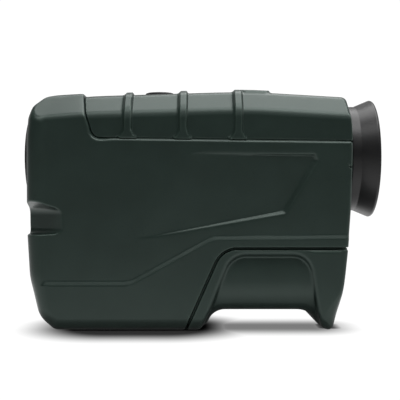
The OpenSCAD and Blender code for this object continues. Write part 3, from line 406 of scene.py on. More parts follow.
# Both housing halves in one, before they are parted on the middle plane
def housing(x, y, z):
    axial = np.sqrt(y * y + (z - AXIS) ** 2)
    beam = np.sqrt(y * y + (z - EMITTER) ** 2)
    bay = poly(x, z, BAY_LINE)
    nick = notch(x, y, z)
    inner = np.maximum(body(x, y, z, HALF - STEP) + WALL, WALL + GAP / 2 - bay)
    inner = np.maximum(inner, WALL - nick)
    for sx, sz in SCREWS:
        inner = np.maximum(inner, SCREW_BOSS - np.hypot(x - sx, z - sz))
    around = np.hypot(x - BUSH_X, y)
    inner = np.maximum(inner, -np.maximum(around - BUSH_BOSS, z - BUSH_TOP))
    wide = side_width(x, z)
    d = body(x, y, z, wide, HOOD, HOOD_LIFT)
    d = cut(d, nick, 0.35)
    d = cut(d, bay - SEAM_DEEP, 0.12)
    near = low_edge(x, z)
    top = SEAM / 2 - poly(x, z, SADDLE_LINE) - lip(x, y, z)
    across = 0.45 + 0.66 * near
    down = 0.3 + 0.45 * near
    d = bevel(d, top, across, down, LEDGE_SOFT)
    mark_low = (REAR - 1.4, HALF - 1.7, AXIS - 3.5)
    mark_high = (REAR + 2, HALF + 2, AXIS - 3.0)
    d = cut(d, box3(x, np.abs(y), z, mark_low, mark_high, 0.1), 0.1)
    d = cut(d, inner, 0.3)
    d = cut(d, np.maximum(axial - OBJECTIVE_BORE, x - FRONT - 8), 0.2)
    d = cut(d, np.maximum(beam - LASER_BORE, x - FRONT - 8), 0.2)
    d = cut(d, np.maximum(beam - LASER_SEAT, x - FRONT - 1.3), 0.15)
    d = cut(d, np.maximum(axial - BARREL_BORE, REAR - 8 - x), 0.2)
    d = cut(d, np.maximum(around - BUSH_BORE, z - 12), 0.3)
    d = cut(d, np.maximum(around - FLANGE_BORE, BUSH_TOP - z), 0.1)
    tray_low = (low("battery_bay")[0] - 0.15, -TRAY_HALF, BAY_Z - 6)
    tray_high = (high("battery_bay")[0] + 0.15, TRAY_HALF, BAY_Z + 8.3)
    d = cut(d, box3(x, y, z, tray_low, tray_high, 0.2), 0.2)
    slot_low = (BAY_X - 9, -SLOT_HALF, 3.1)
    slot_high = (BAY_X + 5, SLOT_HALF, 5.3)
    d = cut(d, box3(x, y, z, slot_low, slot_high, 0.2), 0.1)
    for sx, sz in SCREWS:
        d = cut(d, np.maximum(np.hypot(x - sx, z - sz) - PILOT, np.abs(y) - 12), 0.1)
    return d


def half_shell(x, y, z):
    return meet(housing(x, y, z), y + PARTING, PARTING_R)


def right_shell(x, y, z):
    d = half_shell(x, y, z)
    for sx, sz in SCREWS:
        away = np.hypot(x - sx, z - sz)
        d = cut(d, np.maximum(away - SHANK, HALF - 12 - np.abs(y)), 0.05)
        d = cut(d, np.maximum(away - HEAD, HALF - WALL - 0.6 - np.abs(y)), 0.25)
    return d


# Where the roof is sunk between the ribs, from 0 to 1
def pocket_mask(x, y, z):
    ends = [(SADDLE - 6, RIBS[0] - RIB_W / 2)]
    ends += [(RIBS[i] + RIB_W / 2, RIBS[i + 1] - RIB_W / 2) for i in range(2)]
    ends += [(RIBS[2] + RIB_W / 2, REAR + 20)]
    mask = 0.0
    for x0, x1 in ends:
        x0 = x0 - POCKET_OVER
        x1 = x1 + POCKET_OVER
        line = rounded([
            (x0, ledge(x0) - POCKET_FOOT, POCKET_R), (x1, ledge(x1) - POCKET_FOOT, POCKET_R),
            (x1, POCKET_TOP, 0), (x0, POCKET_TOP, 0),
        ])
        t = np.clip(-poly(x, z, line) / np.where(x > (x0 + x1) / 2, *FLANKS), 0.0, 1.0)
        mask = np.maximum(mask, 1 - (1 - t) ** 2)
    pad = box2(x - sum(PAD) / 2, y, (PAD[1] - PAD[0]) / 2 + 0.5, 13, 2.0)
    t = np.clip(pad, 0.0, 1.0)
    low_side = ramp(HEIGHT - 6, HEIGHT - 9, z)
    return mask * np.maximum(1 - (1 - t) ** 2, low_side)


# Ribbed top cover
def cover(x, y, z):
    deep = POCKET * pocket_mask(x, y, z)
    inner = body(x, y, z, HALF - STEP) + WALL
    d = body(x - deep, y, z - COVER_RISE, HALF - STEP - INSET, roof=COVER_R) + deep
    d = np.maximum(d, poly(x, z, SADDLE_LINE) + SEAM / 2 + lip(x, y, z, LIP_SLOPE))
    d = cut(d, inner, 0.3)
    d = cut(d, box2(x - POWER_X, y, *POWER_HOLE, POWER_HOLE[0]), 0.35)
    d = cut(d, np.hypot(x - MODE_X, y) - MODE_HOLE, 0.25)
    axial = np.sqrt(y * y + (z - AXIS) ** 2)
    return cut(d, np.maximum(axial - BARREL_BORE, REAR - 8 - x), 0.2)


# Battery cover with its arch, scoops, rail hooks and tongue
def lid(x, y, z):
    ay = np.abs(y)
    side = poly(x, z, SIDE)
    arch = poly(x, z, ARCH_LINE)
    bay = poly(x, z, BAY_LINE)
    wide = side_width(x, z)
    d = body(x, y, z, wide)
    rim = groove(x, y, d, wide)
    d = meet(d, np.maximum(bay + SEAM_DEEP, np.minimum(bay + SEAM_OPEN, rim)), 0.12)
    bend = z - SCOOP_Z
    hollow = HALF - SCOOP_DEPTH - np.where(bend > 0, 0.01, 0.03) * bend * bend - ay
    scoop = meet(hollow, poly(x, z, SCOOP_LINE), 0.6)
    d = cut(d, scoop, 1.5)
    d = cut(d, arch, 2.4)
    inner = np.maximum(np.maximum(side + LID_WALL, LID_WALL - arch), ay - LID_HALF)
    d = cut(d, meet(inner, bay - 4, 0.3), 0.3)
    hook_low = (BAY_X + 15.6, 9.9, BAY_Z - 1.7)
    hook_high = (REAR - 3.5, 16.3, BAY_Z - 0.75)
    hook = box3(x, ay, z, hook_low, hook_high, 0.15)
    tongue_low = (BAY_X - 3, -5, 3.4)
    tongue_high = (BAY_X + 6.4, 5, 5)
    tongue = box3(x, y, z, tongue_low, tongue_high, 0.3)
    return np.minimum(np.minimum(d, hook), tongue)


def power_cap(x, y, z):
    top = high("power_button")[2] + POWER_RISE
    base = low("power_button")[2]
    up = z - top - POWER_DISH_UP
    dish = np.sqrt((x - POWER_X) ** 2 + (y * 0.62) ** 2 + up ** 2) - POWER_DISH
    d = meet(box2(x - POWER_X, y, *POWER_CAP, POWER_CAP[0]), z - top, 0.7)
    d = cut(d, dish, 0.4)
    flange = box2(x - POWER_X, y, *POWER_FLANGE, POWER_FLANGE[0])
    skirt = np.maximum(flange, np.abs(z - POWER_SKIRT) - SKIRT_HALF)
    stem = np.maximum(np.hypot(x - POWER_X, y) - POWER_STEM, z - STEM_TOP)
    d = np.maximum(d, POWER_BASE - z)
    return np.maximum(np.minimum(np.minimum(d, skirt), stem), base - z)


def mode_cap(x, y, z):
    top = high("mode_button")[2]
    base = low("mode_button")[2]
    away = np.hypot(x - MODE_X, y)
    d = meet(away - MODE_CAP, z - top, 0.45)
    dish = np.sqrt(away ** 2 + (z - top - MODE_DISH_UP) ** 2) - MODE_DISH
    d = cut(d, dish, 0.25)
    skirt = np.maximum(away - MODE_FLANGE, np.abs(z - MODE_SKIRT) - SKIRT_HALF)
    stem = np.maximum(away - MODE_STEM, z - STEM_TOP)
    d = np.maximum(d, MODE_BASE - z)
    return np.maximum(np.minimum(np.minimum(d, skirt), stem), base - z)


# Meshes from the fields
def sample(field, p):
    i = np.clip(np.floor(p).astype(int), 0, np.array(field.shape) - 2)
    f = p - i
    out = 0.0
    for dx in (0, 1):
        for dy in (0, 1):
            for dz in (0, 1):
                w = (f[:, 0] if dx else 1 - f[:, 0]) * (f[:, 1] if dy else 1 - f[:, 1])
                w = w * (f[:, 2] if dz else 1 - f[:, 2])
                out = out + w * field[i[:, 0] + dx, i[:, 1] + dy, i[:, 2] + dz]
    return out


def slope_at(field, p):
    out = np.zeros_like(p)
    for k in range(3):
        step = np.zeros(3)
        step[k] = SLOPE_REACH
        out[:, k] = (sample(field, p + step) - sample(field, p - step)) / (2 * SLOPE_REACH)
    return out


def grid(lo, hi, h):
    axes = [np.arange(a - 3 * h, b + 3.5 * h, h) for a, b in zip(lo, hi)]
    x = axes[0].reshape(-1, 1, 1)
    y = axes[1].reshape(1, -1, 1)
    z = axes[2].reshape(1, 1, -1)
    return x, y, z


# Moves the points onto the exact surface and gives its normals
def settle(shape, p):
    total = 0.0
    grad = np.zeros_like(p)
    for way in ((1, -1, -1), (-1, -1, 1), (-1, 1, -1), (1, 1, 1)):
        q = p + SETTLE_REACH * np.array(way)
        f = shape(q[:, 0], q[:, 1], q[:, 2])
        total = total + f / 4
        grad = grad + f[:, None] * np.array(way) / (4 * SETTLE_REACH)
    size = np.maximum((grad * grad).sum(1), 0.05)
    move = np.clip(total / size, -SETTLE_MOST, SETTLE_MOST)
    return p - grad * move[:, None], grad / np.sqrt(size)[:, None]


# The attribute edge holds how sharply the surface bends, for the wear on the mouldings
def skin(name, shape, x, y, z, h, flip=False):
    dense = np.ascontiguousarray(shape(x, y, z), dtype=np.float32)
    vol = openvdb.FloatGrid(3 * h)
    vol.copyFromArray(dense)
    pts, tris, quads = vol.convertToPolygons(0.0, ADAPT)
    p = np.array(pts, float)
    for _ in range(2):
        g = slope_at(dense, p)
        p = p - g * (sample(dense, p) / np.maximum((g * g).sum(1), 1e-6))[:, None]
    lap = -6 * sample(dense, p)
    for k in range(3):
        step = np.zeros(3)
        step[k] = BEND_REACH
        lap = lap + sample(dense, p + step) + sample(dense, p - step)
    origin = np.array([x.ravel()[0], y.ravel()[0], z.ravel()[0]])
    p, n = settle(shape, origin + p * h)
    if flip:
        p[:, 1] *= -1
        n[:, 1] *= -1
    faces = [tuple(f) for f in tris.tolist()] + [tuple(f) for f in quads.tolist()]
    a, b, c = (p[[f[k] for f in faces]] for k in range(3))
    way = np.einsum("ij,ij->i", np.cross(b - a, c - a), n[[f[0] for f in faces]])
    if np.median(way) < 0:
        faces = [f[::-1] for f in faces]
    mesh = bpy.data.meshes.new(name)
    mesh.from_pydata((p * MM).tolist(), [], faces)
    mesh.polygons.foreach_set("use_smooth", [True] * len(mesh.polygons))
    bend = lap / (BEND_REACH ** 2 * h * h) * h
    mesh.attributes.new("edge", "FLOAT", "POINT").data.foreach_set("value", bend)
    mesh.normals_split_custom_set_from_vertices(n.tolist())
    obj = bpy.data.objects.new(name, mesh)
    bpy.context.scene.collection.objects.link(obj)
    return obj


def solid(name, shape, lo, hi, h):
    x, y, z = grid(lo, hi, h)
    return skin(name, shape, x, y, z, h)


# Skins over rings of points; a ring of one point closes an end
def ring_mesh(name, rings, closed):
    mesh = bpy.data.meshes.new(name)
    bm = bmesh.new()
    verts = [[bm.verts.new(p) for p in ring] for ring in rings]
    pairs = list(zip(verts, verts[1:]))
    if closed:
        pairs.append((verts[-1], verts[0]))
    for a, b in pairs:
        segs = max(len(a), len(b))
        for j in range(segs):
            k = (j + 1) % segs
            face = [a[0]] if len(a) == 1 else [a[j], a[k]]
            face += [b[0]] if len(b) == 1 else [b[k], b[j]]
            bm.faces.new(face)
    bmesh.ops.recalc_face_normals(bm, faces=bm.faces)
    bm.to_mesh(mesh)
    bm.free()
    mesh.polygons.foreach_set("use_smooth", [True] * len(mesh.polygons))
    mesh.set_sharp_from_angle(angle=SHARP)
    obj = bpy.data.objects.new(name, mesh)
    bpy.context.scene.collection.objects.link(obj)
    return obj


def full_turn(segs):
    return [2 * math.pi * i / segs for i in range(segs)]


# Turned pieces about the X axis, from a closed profile of (x, radius, rounding)
def lathe(name, profile, z0):
    turn = full_turn(160)
    rings = []
    for x, r in rounded(profile):
        rings.append([(x * MM, r * MM * math.cos(t), (z0 + r * math.sin(t)) * MM) for t in turn])
    return ring_mesh(name, rings, True)


# Materials
def nodes_of(name):
    mat = bpy.data.materials.new(name)
    mat.use_nodes = True
    tree = mat.node_tree
    shader = tree.nodes["Principled BSDF"]
    place = tree.nodes.new("ShaderNodeTexCoord")
    return mat, tree, shader, place


def noise(tree, place, size, detail=3.0, rough=0.55):
    n = tree.nodes.new("ShaderNodeTexNoise")
    n.inputs["Scale"].default_value = 1 / (size * MM)
    n.inputs["Detail"].default_value = detail
    n.inputs["Roughness"].default_value = rough
    tree.links.new(place.outputs["Object"], n.inputs["Vector"])
    return n.outputs["Fac"]


def span(tree, value, a, b, c, d, kind="LINEAR"):
    n = tree.nodes.new("ShaderNodeMapRange")
    n.interpolation_type = kind
    n.inputs["From Min"].default_value = a
    n.inputs["From Max"].default_value = b
    n.inputs["To Min"].default_value = c
    n.inputs["To Max"].default_value = d
    tree.links.new(value, n.inputs["Value"])
    return n.outputs["Result"]


def blend_colour(tree, fac, a, b):
    n = tree.nodes.new("ShaderNodeMix")
    n.data_type = "RGBA"
    tree.links.new(fac, n.inputs["Factor"])
    for name, value in (("A", a), ("B", b)):
        pick = [s for s in n.inputs if s.name == name and s.type == "RGBA"][0]
        if isinstance(value, tuple):
            pick.default_value = (*value, 1)
        else:
            tree.links.new(value, pick)
    return [s for s in n.outputs if s.type == "RGBA"][0]


def bump(tree, shader, heights):
    last = None
    for value, strength, depth in heights:
        n = tree.nodes.new("ShaderNodeBump")
        n.inputs["Strength"].default_value = strength
        n.inputs["Distance"].default_value = depth * MM
        tree.links.new(value, n.inputs["Height"])
        if last is not None:
            tree.links.new(last, n.inputs["Normal"])
        last = n.outputs["Normal"]
    tree.links.new(last, shader.inputs["Normal"])


# Plastic or rubber: two base colours, a colour for worn edges, a range of roughness, fine grain in mm
def moulded(name, dark, light, edge, rough, grain=0.28, depth=0.02, level=0.5, tint=(1, 1, 1)):
    mat, tree, shader, place = nodes_of(name)
    broad = noise(tree, place, 9.0, 2.0)
    fine = noise(tree, place, grain, 4.0, 0.6)
    colour = blend_colour(tree, span(tree, broad, 0.35, 0.65, 0.0, 1.0), dark, light)
    wear = tree.nodes.new("ShaderNodeAttribute")
    wear.attribute_name = "edge"
    worn = span(tree, wear.outputs["Fac"], 0.12, 0.75, 0.0, 0.55)
    colour = blend_colour(tree, worn, colour, edge)
    tree.links.new(colour, shader.inputs["Base Color"])
    tree.links.new(span(tree, fine, 0.3, 0.7, rough[0], rough[1]), shader.inputs["Roughness"])
    shader.inputs["Specular IOR Level"].default_value = level
    shader.inputs["Specular Tint"].default_value = (*tint, 1)
    bump(tree, shader, [(fine, 0.35, depth), (noise(tree, place, 1.6, 2.0), 0.08, 0.03)])
    return mat


def metal(name, dark, light, rough):
    mat, tree, shader, place = nodes_of(name)
    fine = noise(tree, place, 0.15, 5.0, 0.65)
    broad = noise(tree, place, 4.0, 2.0)
    colour = blend_colour(tree, span(tree, broad, 0.35, 0.65, 0.0, 1.0), dark, light)
    tree.links.new(colour, shader.inputs["Base Color"])
    tree.links.new(span(tree, fine, 0.3, 0.7, rough[0], rough[1]), shader.inputs["Roughness"])
    shader.inputs["Metallic"].default_value = 1.0
    bump(tree, shader, [(fine, 0.15, 0.01)])
    return mat


# Coated glass, dark because the tube behind it is: its base colour is dark face-on, standing in for the
# dark tube seen through it, and turns to a painted coating reflection toward the rim
def glass(name, tint, deep):
    mat, tree, shader, place = nodes_of(name)
    face = tree.nodes.new("ShaderNodeLayerWeight")
    face.inputs["Blend"].default_value = 0.35
    # Dark face-on, and a painted coating reflection at grazing angles
    colour = blend_colour(tree, face.outputs["Facing"], deep, tint)
    haze = noise(tree, place, 3.0, 3.0)
    tree.links.new(colour, shader.inputs["Base Color"])
    tree.links.new(span(tree, haze, 0.3, 0.7, 0.02, 0.06), shader.inputs["Roughness"])
    shader.inputs["Coat Weight"].default_value = 0.12
    shader.inputs["Coat Roughness"].default_value = 0.03
    shader.inputs["Specular IOR Level"].default_value = 0.4
    shader.inputs["Specular Tint"].default_value = (0.5, 0.56, 1.0, 1.0)
    return mat


GREEN_WEAR = (0.03, 0.047, 0.039)
GREEN_ROUGH = (0.27, 0.37)
GREEN_TINT = (0.84, 1.0, 0.93)
BLACK_WEAR = (0.03, 0.03, 0.03)
SHELL = moulded(
    "shell_green", (0.0116, 0.0206, 0.017), (0.0137, 0.024, 0.02), GREEN_WEAR, GREEN_ROUGH,
    level=0.38, tint=GREEN_TINT,
)
COVER = moulded(
    "cover_green", (0.011, 0.02, 0.0164), (0.013, 0.0235, 0.0194), GREEN_WEAR, GREEN_ROUGH,
    level=0.38, tint=GREEN_TINT,
)
BLACK = moulded(
    "black_plastic", (0.008, 0.008, 0.009), (0.012, 0.012, 0.013), BLACK_WEAR, (0.42, 0.56),
    grain=0.2, depth=0.015, level=0.25,
)
BUTTON = moulded(
    "button_black", (0.006, 0.006, 0.007), (0.01, 0.01, 0.011), BLACK_WEAR, (0.5, 0.65),
    grain=0.22, depth=0.015, level=0.3,
)
RUBBER = moulded(
    "rubber_black", (0.005, 0.005, 0.0054), (0.008, 0.008, 0.0085), BLACK_WEAR, (0.3, 0.4),
    grain=0.18, depth=0.02, level=0.34,
)
WHITE = moulded(
    "white_plastic", (0.72, 0.71, 0.68), (0.8, 0.79, 0.76), (0.85, 0.85, 0.82), (0.4, 0.55), grain=0.3,
)
LENS = glass("lens_glass", (0.03, 0.07, 0.06), (0.006, 0.012, 0.02))
PRISM = glass("prism_glass", (0.5, 0.58, 0.58), (0.28, 0.34, 0.36))
BLACK_METAL = metal("black_metal", (0.018, 0.018, 0.02), (0.03, 0.03, 0.032), (0.42, 0.6))
BRIGHT = metal("bright_metal", (0.55, 0.56, 0.58), (0.68, 0.69, 0.7), (0.25, 0.42))
STEEL = metal("steel", (0.36, 0.36, 0.37), (0.5, 0.5, 0.51), (0.28, 0.45))
SCREW = metal("screw_steel", (0.13, 0.13, 0.14), (0.19, 0.19, 0.2), (0.36, 0.52))
BRASS = metal("brass", (0.52, 0.36, 0.14), (0.64, 0.46, 0.2), (0.24, 0.4))
BOARD = moulded(
    "board_green", (0.012, 0.07, 0.03), (0.02, 0.1, 0.045), (0.1, 0.2, 0.1), (0.3, 0.42), grain=0.5,
)
FLEX = moulded(
    "flex_amber", (0.4, 0.16, 0.02), (0.5, 0.22, 0.03), (0.6, 0.3, 0.05), (0.3, 0.45), grain=0.6,
)
WRAP = moulded(
    "battery_wrap", (0.03, 0.06, 0.12), (0.045, 0.08, 0.16), (0.1, 0.14, 0.2), (0.25, 0.36), grain=0.6,
)


# Pieces
def put(obj, mat, slot, body_name, *nodes):
    obj.data.materials.clear()
    obj.data.materials.append(mat)
    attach(obj, body_name)
    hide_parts(*nodes)


def housing_halves():
    x, y, z = grid((FRONT, -HALF, 0), (REAR, 0, HEIGHT), FINE)
    left = skin("left_half", half_shell, x, y, z, FINE)
    right = skin("right_half", right_shell, x, y, z, FINE, True)
    put(left, SHELL, "shell_green", "housing", "left_housing")
    put(right, SHELL, "shell_green", "housing", "right_housing")


def covers():
    top = solid("ribbed_cover", cover, (SADDLE - 3, -HALF, 50), (REAR, HALF, HEIGHT), FINE)
    put(top, COVER, "cover_green", "housing", "top_cover")
    door = solid("battery_door", lid, (BAY_X - 4, -HALF, 0), (REAR, HALF, BAY_Z), FINE * 0.9)
    put(door, SHELL, "shell_green", "battery_cover", "battery_cover")


def buttons():
    cap = solid("power_cap", power_cap, low("power_button"), high("power_button"), 0.16)
    put(cap, BUTTON, "button_black", "power_button", "power_button")
    cap = solid("mode_cap", mode_cap, low("mode_button"), high("mode_button"), 0.12)
    put(cap, BUTTON, "button_black", "mode_button", "mode_button")


# Rubber eyecup, flared to its rim
def eyepiece():
    x0 = low("eyecup")[0] - 0.5
    seat = low("eyecup")[0] - 0.3
    x1 = high("eyecup")[0] - 0.25
    sleeve = 15.9
    inner = 14.65
    mouth = 12.8
    rim = high("eyecup")[1] - 0.15
    cup = lathe("rubber_eyecup", [
        (x0, inner, 0.1), (x0, sleeve, 0.5), (x0 + 2.9, sleeve, 0.9), (x1 - 0.7, rim, 0.55),
        (x1, rim - 0.3, 0.5), (x1 - 0.1, rim - 1.0, 0.4), (x1 - 2.0, rim - 2.9, 1.2),
        (x1 - 2.1, 12.9, 0.15), (x1 - 2.25, mouth, 0.1), (seat + 5.75, mouth, 0.0),
        (seat + 5.75, 13.35, 0.0), (seat + 5.4, 13.35, 0.0), (seat + 5.4, 14.35, 0.0),
        (seat + 4.6, 14.35, 0.0), (seat + 4.6, inner, 0.0),
    ], AXIS)
    put(cup, RUBBER, "rubber_black", "dioptre", "eyecup")


# Objective ring with its stepped light baffle
def objective():
    x0 = low("objective_ring")[0]
    r = high("objective_ring")[1]
    spigot = 10.97
    clear = 10.05
    ring = lathe("front_ring", [
        (x0 + 1.2, spigot, 0), (x0 + 1.2, r - 0.25, 0.2), (x0 + 0.95, r, 0.2), (x0 + 0.25, r, 0.3),
        (x0, r - 0.4, 0.3), (x0, 12.2, 0.2), (x0 + 0.55, 11.8, 0.1), (x0 + 0.55, 11.4, 0.1),
        (x0 + 1.0, 11.2, 0.1), (x0 + 1.0, 10.85, 0.1), (x0 + 1.5, 10.6, 0.1), (x0 + 1.5, 10.3, 0.1),
        (x0 + 2.2, clear, 0), (x0 + 4.1, clear, 0), (x0 + 4.1, spigot, 0),
    ], AXIS)
    put(ring, BLACK, "black_plastic", "housing", "objective_ring")


# Tripod bush, its thread a true helix with a lead-in at the mouth
def threaded_bush():
    z0 = low("tripod_bush")[2]
    z1 = high("tripod_bush")[2]
    flange = high("tripod_bush")[0] - BUSH_X
    barrel = flange - 1
    turn = full_turn(96)
    rows = [[(0.0, z0 + BORE_DEEP)], [(MINOR, z0 + BORE_DEEP)] * len(turn)]
    for row in range(THREAD_ROWS, -1, -1):
        z = z0 + 0.35 + row * PITCH / ROWS_PER_TURN
        lead = max(0.0, 1 - row / 6)
        cutting = row < THREAD_ROWS - 1
        ring = []
        for t in turn:
            phase = (row / ROWS_PER_TURN - t / (2 * math.pi)) % 1
            tooth = min(1.0, max(0.0, 1.25 * (1 - abs(2 * phase - 1)) - 0.125))
            ring.append((MINOR + (MAJOR - MINOR) * max(tooth * cutting, lead), z))
        rows.append(ring)
    outline = [
        (MAJOR + 0.25, z0), (barrel - 0.3, z0), (barrel, z0 + 0.3), (barrel, z1 - 1.5),
        (flange - 0.2, z1 - 1.4), (flange, z1 - 1.2), (flange, z1 - 0.2), (flange - 0.2, z1),
    ]
    rows += [[place] * len(turn) for place in outline] + [[(0.0, z1)]]
    rings = []
    for row in rows:
        spots = [(BUSH_X + r * math.cos(t), r * math.sin(t), z) for (r, z), t in zip(row, turn)]
        rings.append([tuple(c * MM for c in spot) for spot in spots])
    put(ring_mesh("threaded_bush", rings, False), BRASS, "brass", "housing", "tripod_bush")


housing_halves()
covers()
buttons()
eyepiece()
objective()
threaded_bush()

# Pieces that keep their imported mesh
FINISH = {
    "housing_screws": SCREW, "objective_seal": RUBBER, "objective_tube": BLACK_METAL,
    "objective_crown": LENS, "objective_flint": LENS, "laser_ring": BLACK, "laser_lens": LENS,
    "laser_tube": BLACK_METAL, "laser_holder": BRIGHT, "laser_diode": BRASS, "prism_frame": BLACK_METAL,
    "entry_prism": PRISM, "roof_prism": PRISM, "receiver_diode": BRIGHT, "receiver_board": BOARD,
    "display_glass": PRISM, "display_frame": BLACK, "display_flex": FLEX, "eyepiece_barrel": BLACK_METAL,
    "ocular_cell": BLACK_METAL, "field_lens": LENS, "eye_lens": LENS, "ocular_retainer": BLACK_METAL,
    "drive_pins": STEEL, "dioptre_ring": BLACK_METAL, "dioptre_clip": STEEL, "main_board": BOARD,
    "board_chips": BLACK, "board_screws": STEEL, "key_board": BOARD, "key_flex": FLEX,
    "key_screws": STEEL, "switch_bases": BRIGHT, "power_plunger": WHITE, "mode_plunger": WHITE,
    "battery_bay": BLACK, "bay_screws": STEEL, "battery": WRAP, "positive_plate": BRIGHT,
    "negative_plate": BRIGHT, "battery_spring": STEEL,
}
for node, mat in FINISH.items():
    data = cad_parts[node].data
    data.materials.clear()
    data.materials.append(mat)


# Floor, light and camera
def maths(tree, kind, a, b):
    n = tree.nodes.new("ShaderNodeMath")
    n.operation = kind
    for socket, value in ((n.inputs[0], a), (n.inputs[1], b)):
        if isinstance(value, float):
            socket.default_value = value
        else:
            tree.links.new(value, socket)
    return n.outputs[0]


# Distance over the floor from a rectangle, given as (x, half length, y, half width) in metres
def step_away(tree, spot):
    place = tree.nodes.new("ShaderNodeTexCoord")
    parts = tree.nodes.new("ShaderNodeSeparateXYZ")
    tree.links.new(place.outputs["Object"], parts.inputs[0])
    dx = maths(tree, "SUBTRACT", parts.outputs[0], spot[0])
    dx = maths(tree, "MAXIMUM", maths(tree, "SUBTRACT", maths(tree, "ABSOLUTE", dx, 0.0), spot[1]), 0.0)
    dy = maths(tree, "SUBTRACT", parts.outputs[1], spot[2])
    dy = maths(tree, "MAXIMUM", maths(tree, "SUBTRACT", maths(tree, "ABSOLUTE", dy, 0.0), spot[3]), 0.0)
    total = maths(tree, "ADD", maths(tree, "MULTIPLY", dx, dx), maths(tree, "MULTIPLY", dy, dy))
    return maths(tree, "POWER", total, 0.5)


# Painted contact shadows at rest: rectangle, where the painted shade starts and ends, and how light it
# starts
PAINTED_SHADOWS = [
    ((-0.0185, 0.0085, -0.012, 0.0027), 0.0105, 0.0295, 0.0),
    ((0.02, 0.012, -0.012, 0.003), 0.0, 0.017, 0.2),
    ((0.0365, 0.001, -0.011, 0.003), 0.0005, 0.0055, 0.05),
    ((-0.0245, 0.0025, 0.003, 0.0117), 0.0105, 0.0255, 0.0),
]
FOOTPRINT = (-0.004, 0.036, 0.0, 0.012)
WHITE_LEVEL = 1.02


# White for the camera over a dark layer that takes the real shadow, with the white glow dimmed near the
# object as painted contact shadows; plain grey as a source of bounced light; and a glow for mirrored
# rays with painted shade beneath the object and a painted brighter band around it
def white_floor():
    mesh = bpy.data.meshes.new("floor")
    half = 1.6
    corners = [(-half, -half, 0), (half, -half, 0), (half, half, 0), (-half, half, 0)]
    mesh.from_pydata(corners, [], [(0, 1, 2, 3)])
    obj = bpy.data.objects.new("floor", mesh)
    bpy.context.scene.collection.objects.link(obj)
    mat = bpy.data.materials.new("floor_white")
    mat.use_nodes = True
    tree = mat.node_tree
    tree.nodes.clear()
    out = tree.nodes.new("ShaderNodeOutputMaterial")
    plain = tree.nodes.new("ShaderNodeBsdfDiffuse")
    plain.inputs["Color"].default_value = (0.56, 0.56, 0.56, 1)
    shade = tree.nodes.new("ShaderNodeBsdfDiffuse")
    shade.inputs["Color"].default_value = (0.03, 0.03, 0.03, 1)
    glow = tree.nodes.new("ShaderNodeEmission")
    # Painted contact shadows: the white glow seen by the camera is dimmed around each rectangle
    zones = []
    for spot, start, end, dim in PAINTED_SHADOWS:
        zones.append(span(tree, step_away(tree, spot), start, end, dim, WHITE_LEVEL, "SMOOTHSTEP"))
    painted_shadow = zones[0]
    for zone in zones[1:]:
        painted_shadow = maths(tree, "MINIMUM", painted_shadow, zone)
    path = tree.nodes.new("ShaderNodeLightPath")
    direct = maths(tree, "MAXIMUM", path.outputs["Is Camera Ray"], path.outputs["Is Transmission Ray"])
    # Painted shade beneath the object and a painted brighter band around it, seen only in mirrored rays
    beside = step_away(tree, FOOTPRINT)
    mirrored_painted_light = span(tree, beside, 0.005, 0.027, 0.06, 1.0, "SMOOTHSTEP")
    mirrored_painted_light = maths(tree, "MULTIPLY", mirrored_painted_light, span(tree, beside, 0.025, 0.12, 1.5, 0.7))
    mirrored = maths(tree, "MULTIPLY", mirrored_painted_light, path.outputs["Is Glossy Ray"])
    level = maths(tree, "MAXIMUM", maths(tree, "MULTIPLY", painted_shadow, direct), mirrored)
    tree.links.new(level, glow.inputs["Strength"])
    both = tree.nodes.new("ShaderNodeAddShader")
    pick = tree.nodes.new("ShaderNodeMixShader")
    tree.links.new(shade.outputs[0], both.inputs[0])
    tree.links.new(glow.outputs[0], both.inputs[1])
    tree.links.new(maths(tree, "MAXIMUM", direct, path.outputs["Is Glossy Ray"]), pick.inputs[0])
    tree.links.new(plain.outputs[0], pick.inputs[1])
    tree.links.new(both.outputs[0], pick.inputs[2])
    tree.links.new(pick.outputs[0], out.inputs[0])
    mesh.materials.append(mat)


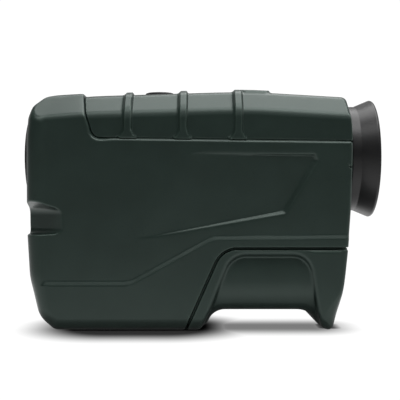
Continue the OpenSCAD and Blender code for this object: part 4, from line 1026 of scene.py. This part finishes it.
# White for the camera, dim as light, and for mirrored rays dim in front and lighter behind
def studio():
    world = bpy.data.worlds.new("studio")
    bpy.context.scene.world = world
    world.use_nodes = True
    tree = world.node_tree
    tree.nodes.clear()
    out = tree.nodes.new("ShaderNodeOutputWorld")
    seen, lit, mirror = (tree.nodes.new("ShaderNodeBackground") for _ in range(3))
    for node in (seen, lit, mirror):
        node.inputs["Color"].default_value = (1, 1, 1, 1)
    seen.inputs["Strength"].default_value = 1.05
    lit.inputs["Strength"].default_value = 0.14
    place = tree.nodes.new("ShaderNodeTexCoord")
    parts = tree.nodes.new("ShaderNodeSeparateXYZ")
    tree.links.new(place.outputs["Generated"], parts.inputs[0])
    behind = span(tree, parts.outputs[1], 0.1, 0.6, 0.1, 0.5, "SMOOTHSTEP")
    tree.links.new(behind, mirror.inputs["Strength"])
    glossy = tree.nodes.new("ShaderNodeMixShader")
    pick = tree.nodes.new("ShaderNodeMixShader")
    path = tree.nodes.new("ShaderNodeLightPath")
    direct = maths(tree, "MAXIMUM", path.outputs["Is Camera Ray"], path.outputs["Is Transmission Ray"])
    tree.links.new(path.outputs["Is Glossy Ray"], glossy.inputs[0])
    tree.links.new(lit.outputs[0], glossy.inputs[1])
    tree.links.new(mirror.outputs[0], glossy.inputs[2])
    tree.links.new(direct, pick.inputs[0])
    tree.links.new(glossy.outputs[0], pick.inputs[1])
    tree.links.new(seen.outputs[0], pick.inputs[2])
    tree.links.new(pick.outputs[0], out.inputs[0])


def lamp(name, place, aim, size, power):
    data = bpy.data.lights.new(name, "AREA")
    data.shape = "RECTANGLE"
    data.size = size[0]
    data.size_y = size[1]
    data.energy = power
    obj = bpy.data.objects.new(name, data)
    obj.location = place
    obj.rotation_euler = (Vector(aim) - Vector(place)).to_track_quat("-Z", "Y").to_euler()
    bpy.context.scene.collection.objects.link(obj)


# Square to the left side, matched to the photograph
def camera():
    data = bpy.data.cameras.new("camera")
    data.lens = 75.87
    data.sensor_width = 36
    data.clip_start = 0.01
    obj = bpy.data.objects.new("camera", data)
    obj.location = (-0.0006, -0.2601, 0.0373)
    obj.rotation_euler = (math.radians(90), 0, 0)
    bpy.context.scene.collection.objects.link(obj)
    bpy.context.scene.camera = obj


white_floor()
studio()
lamp("overhead", (0.14, 0.1, 0.8), (0.08, 0.06, 0.0), (0.9, 0.72), 8.4)
lamp("front_strip", (0, -0.36, 0.75), (0, 0, 0.03), (1.0, 0.3), 3.4)
lamp("front_fill", (0, -0.95, 0.75), (0, 0, 0.03), (1.2, 0.5), 0.95)
lamp("rear_rim", (0.75, 0.12, 0.3), (0, 0, 0.04), (0.5, 0.5), 1.5)
camera()

bpy.context.scene.view_settings.view_transform = "Standard"
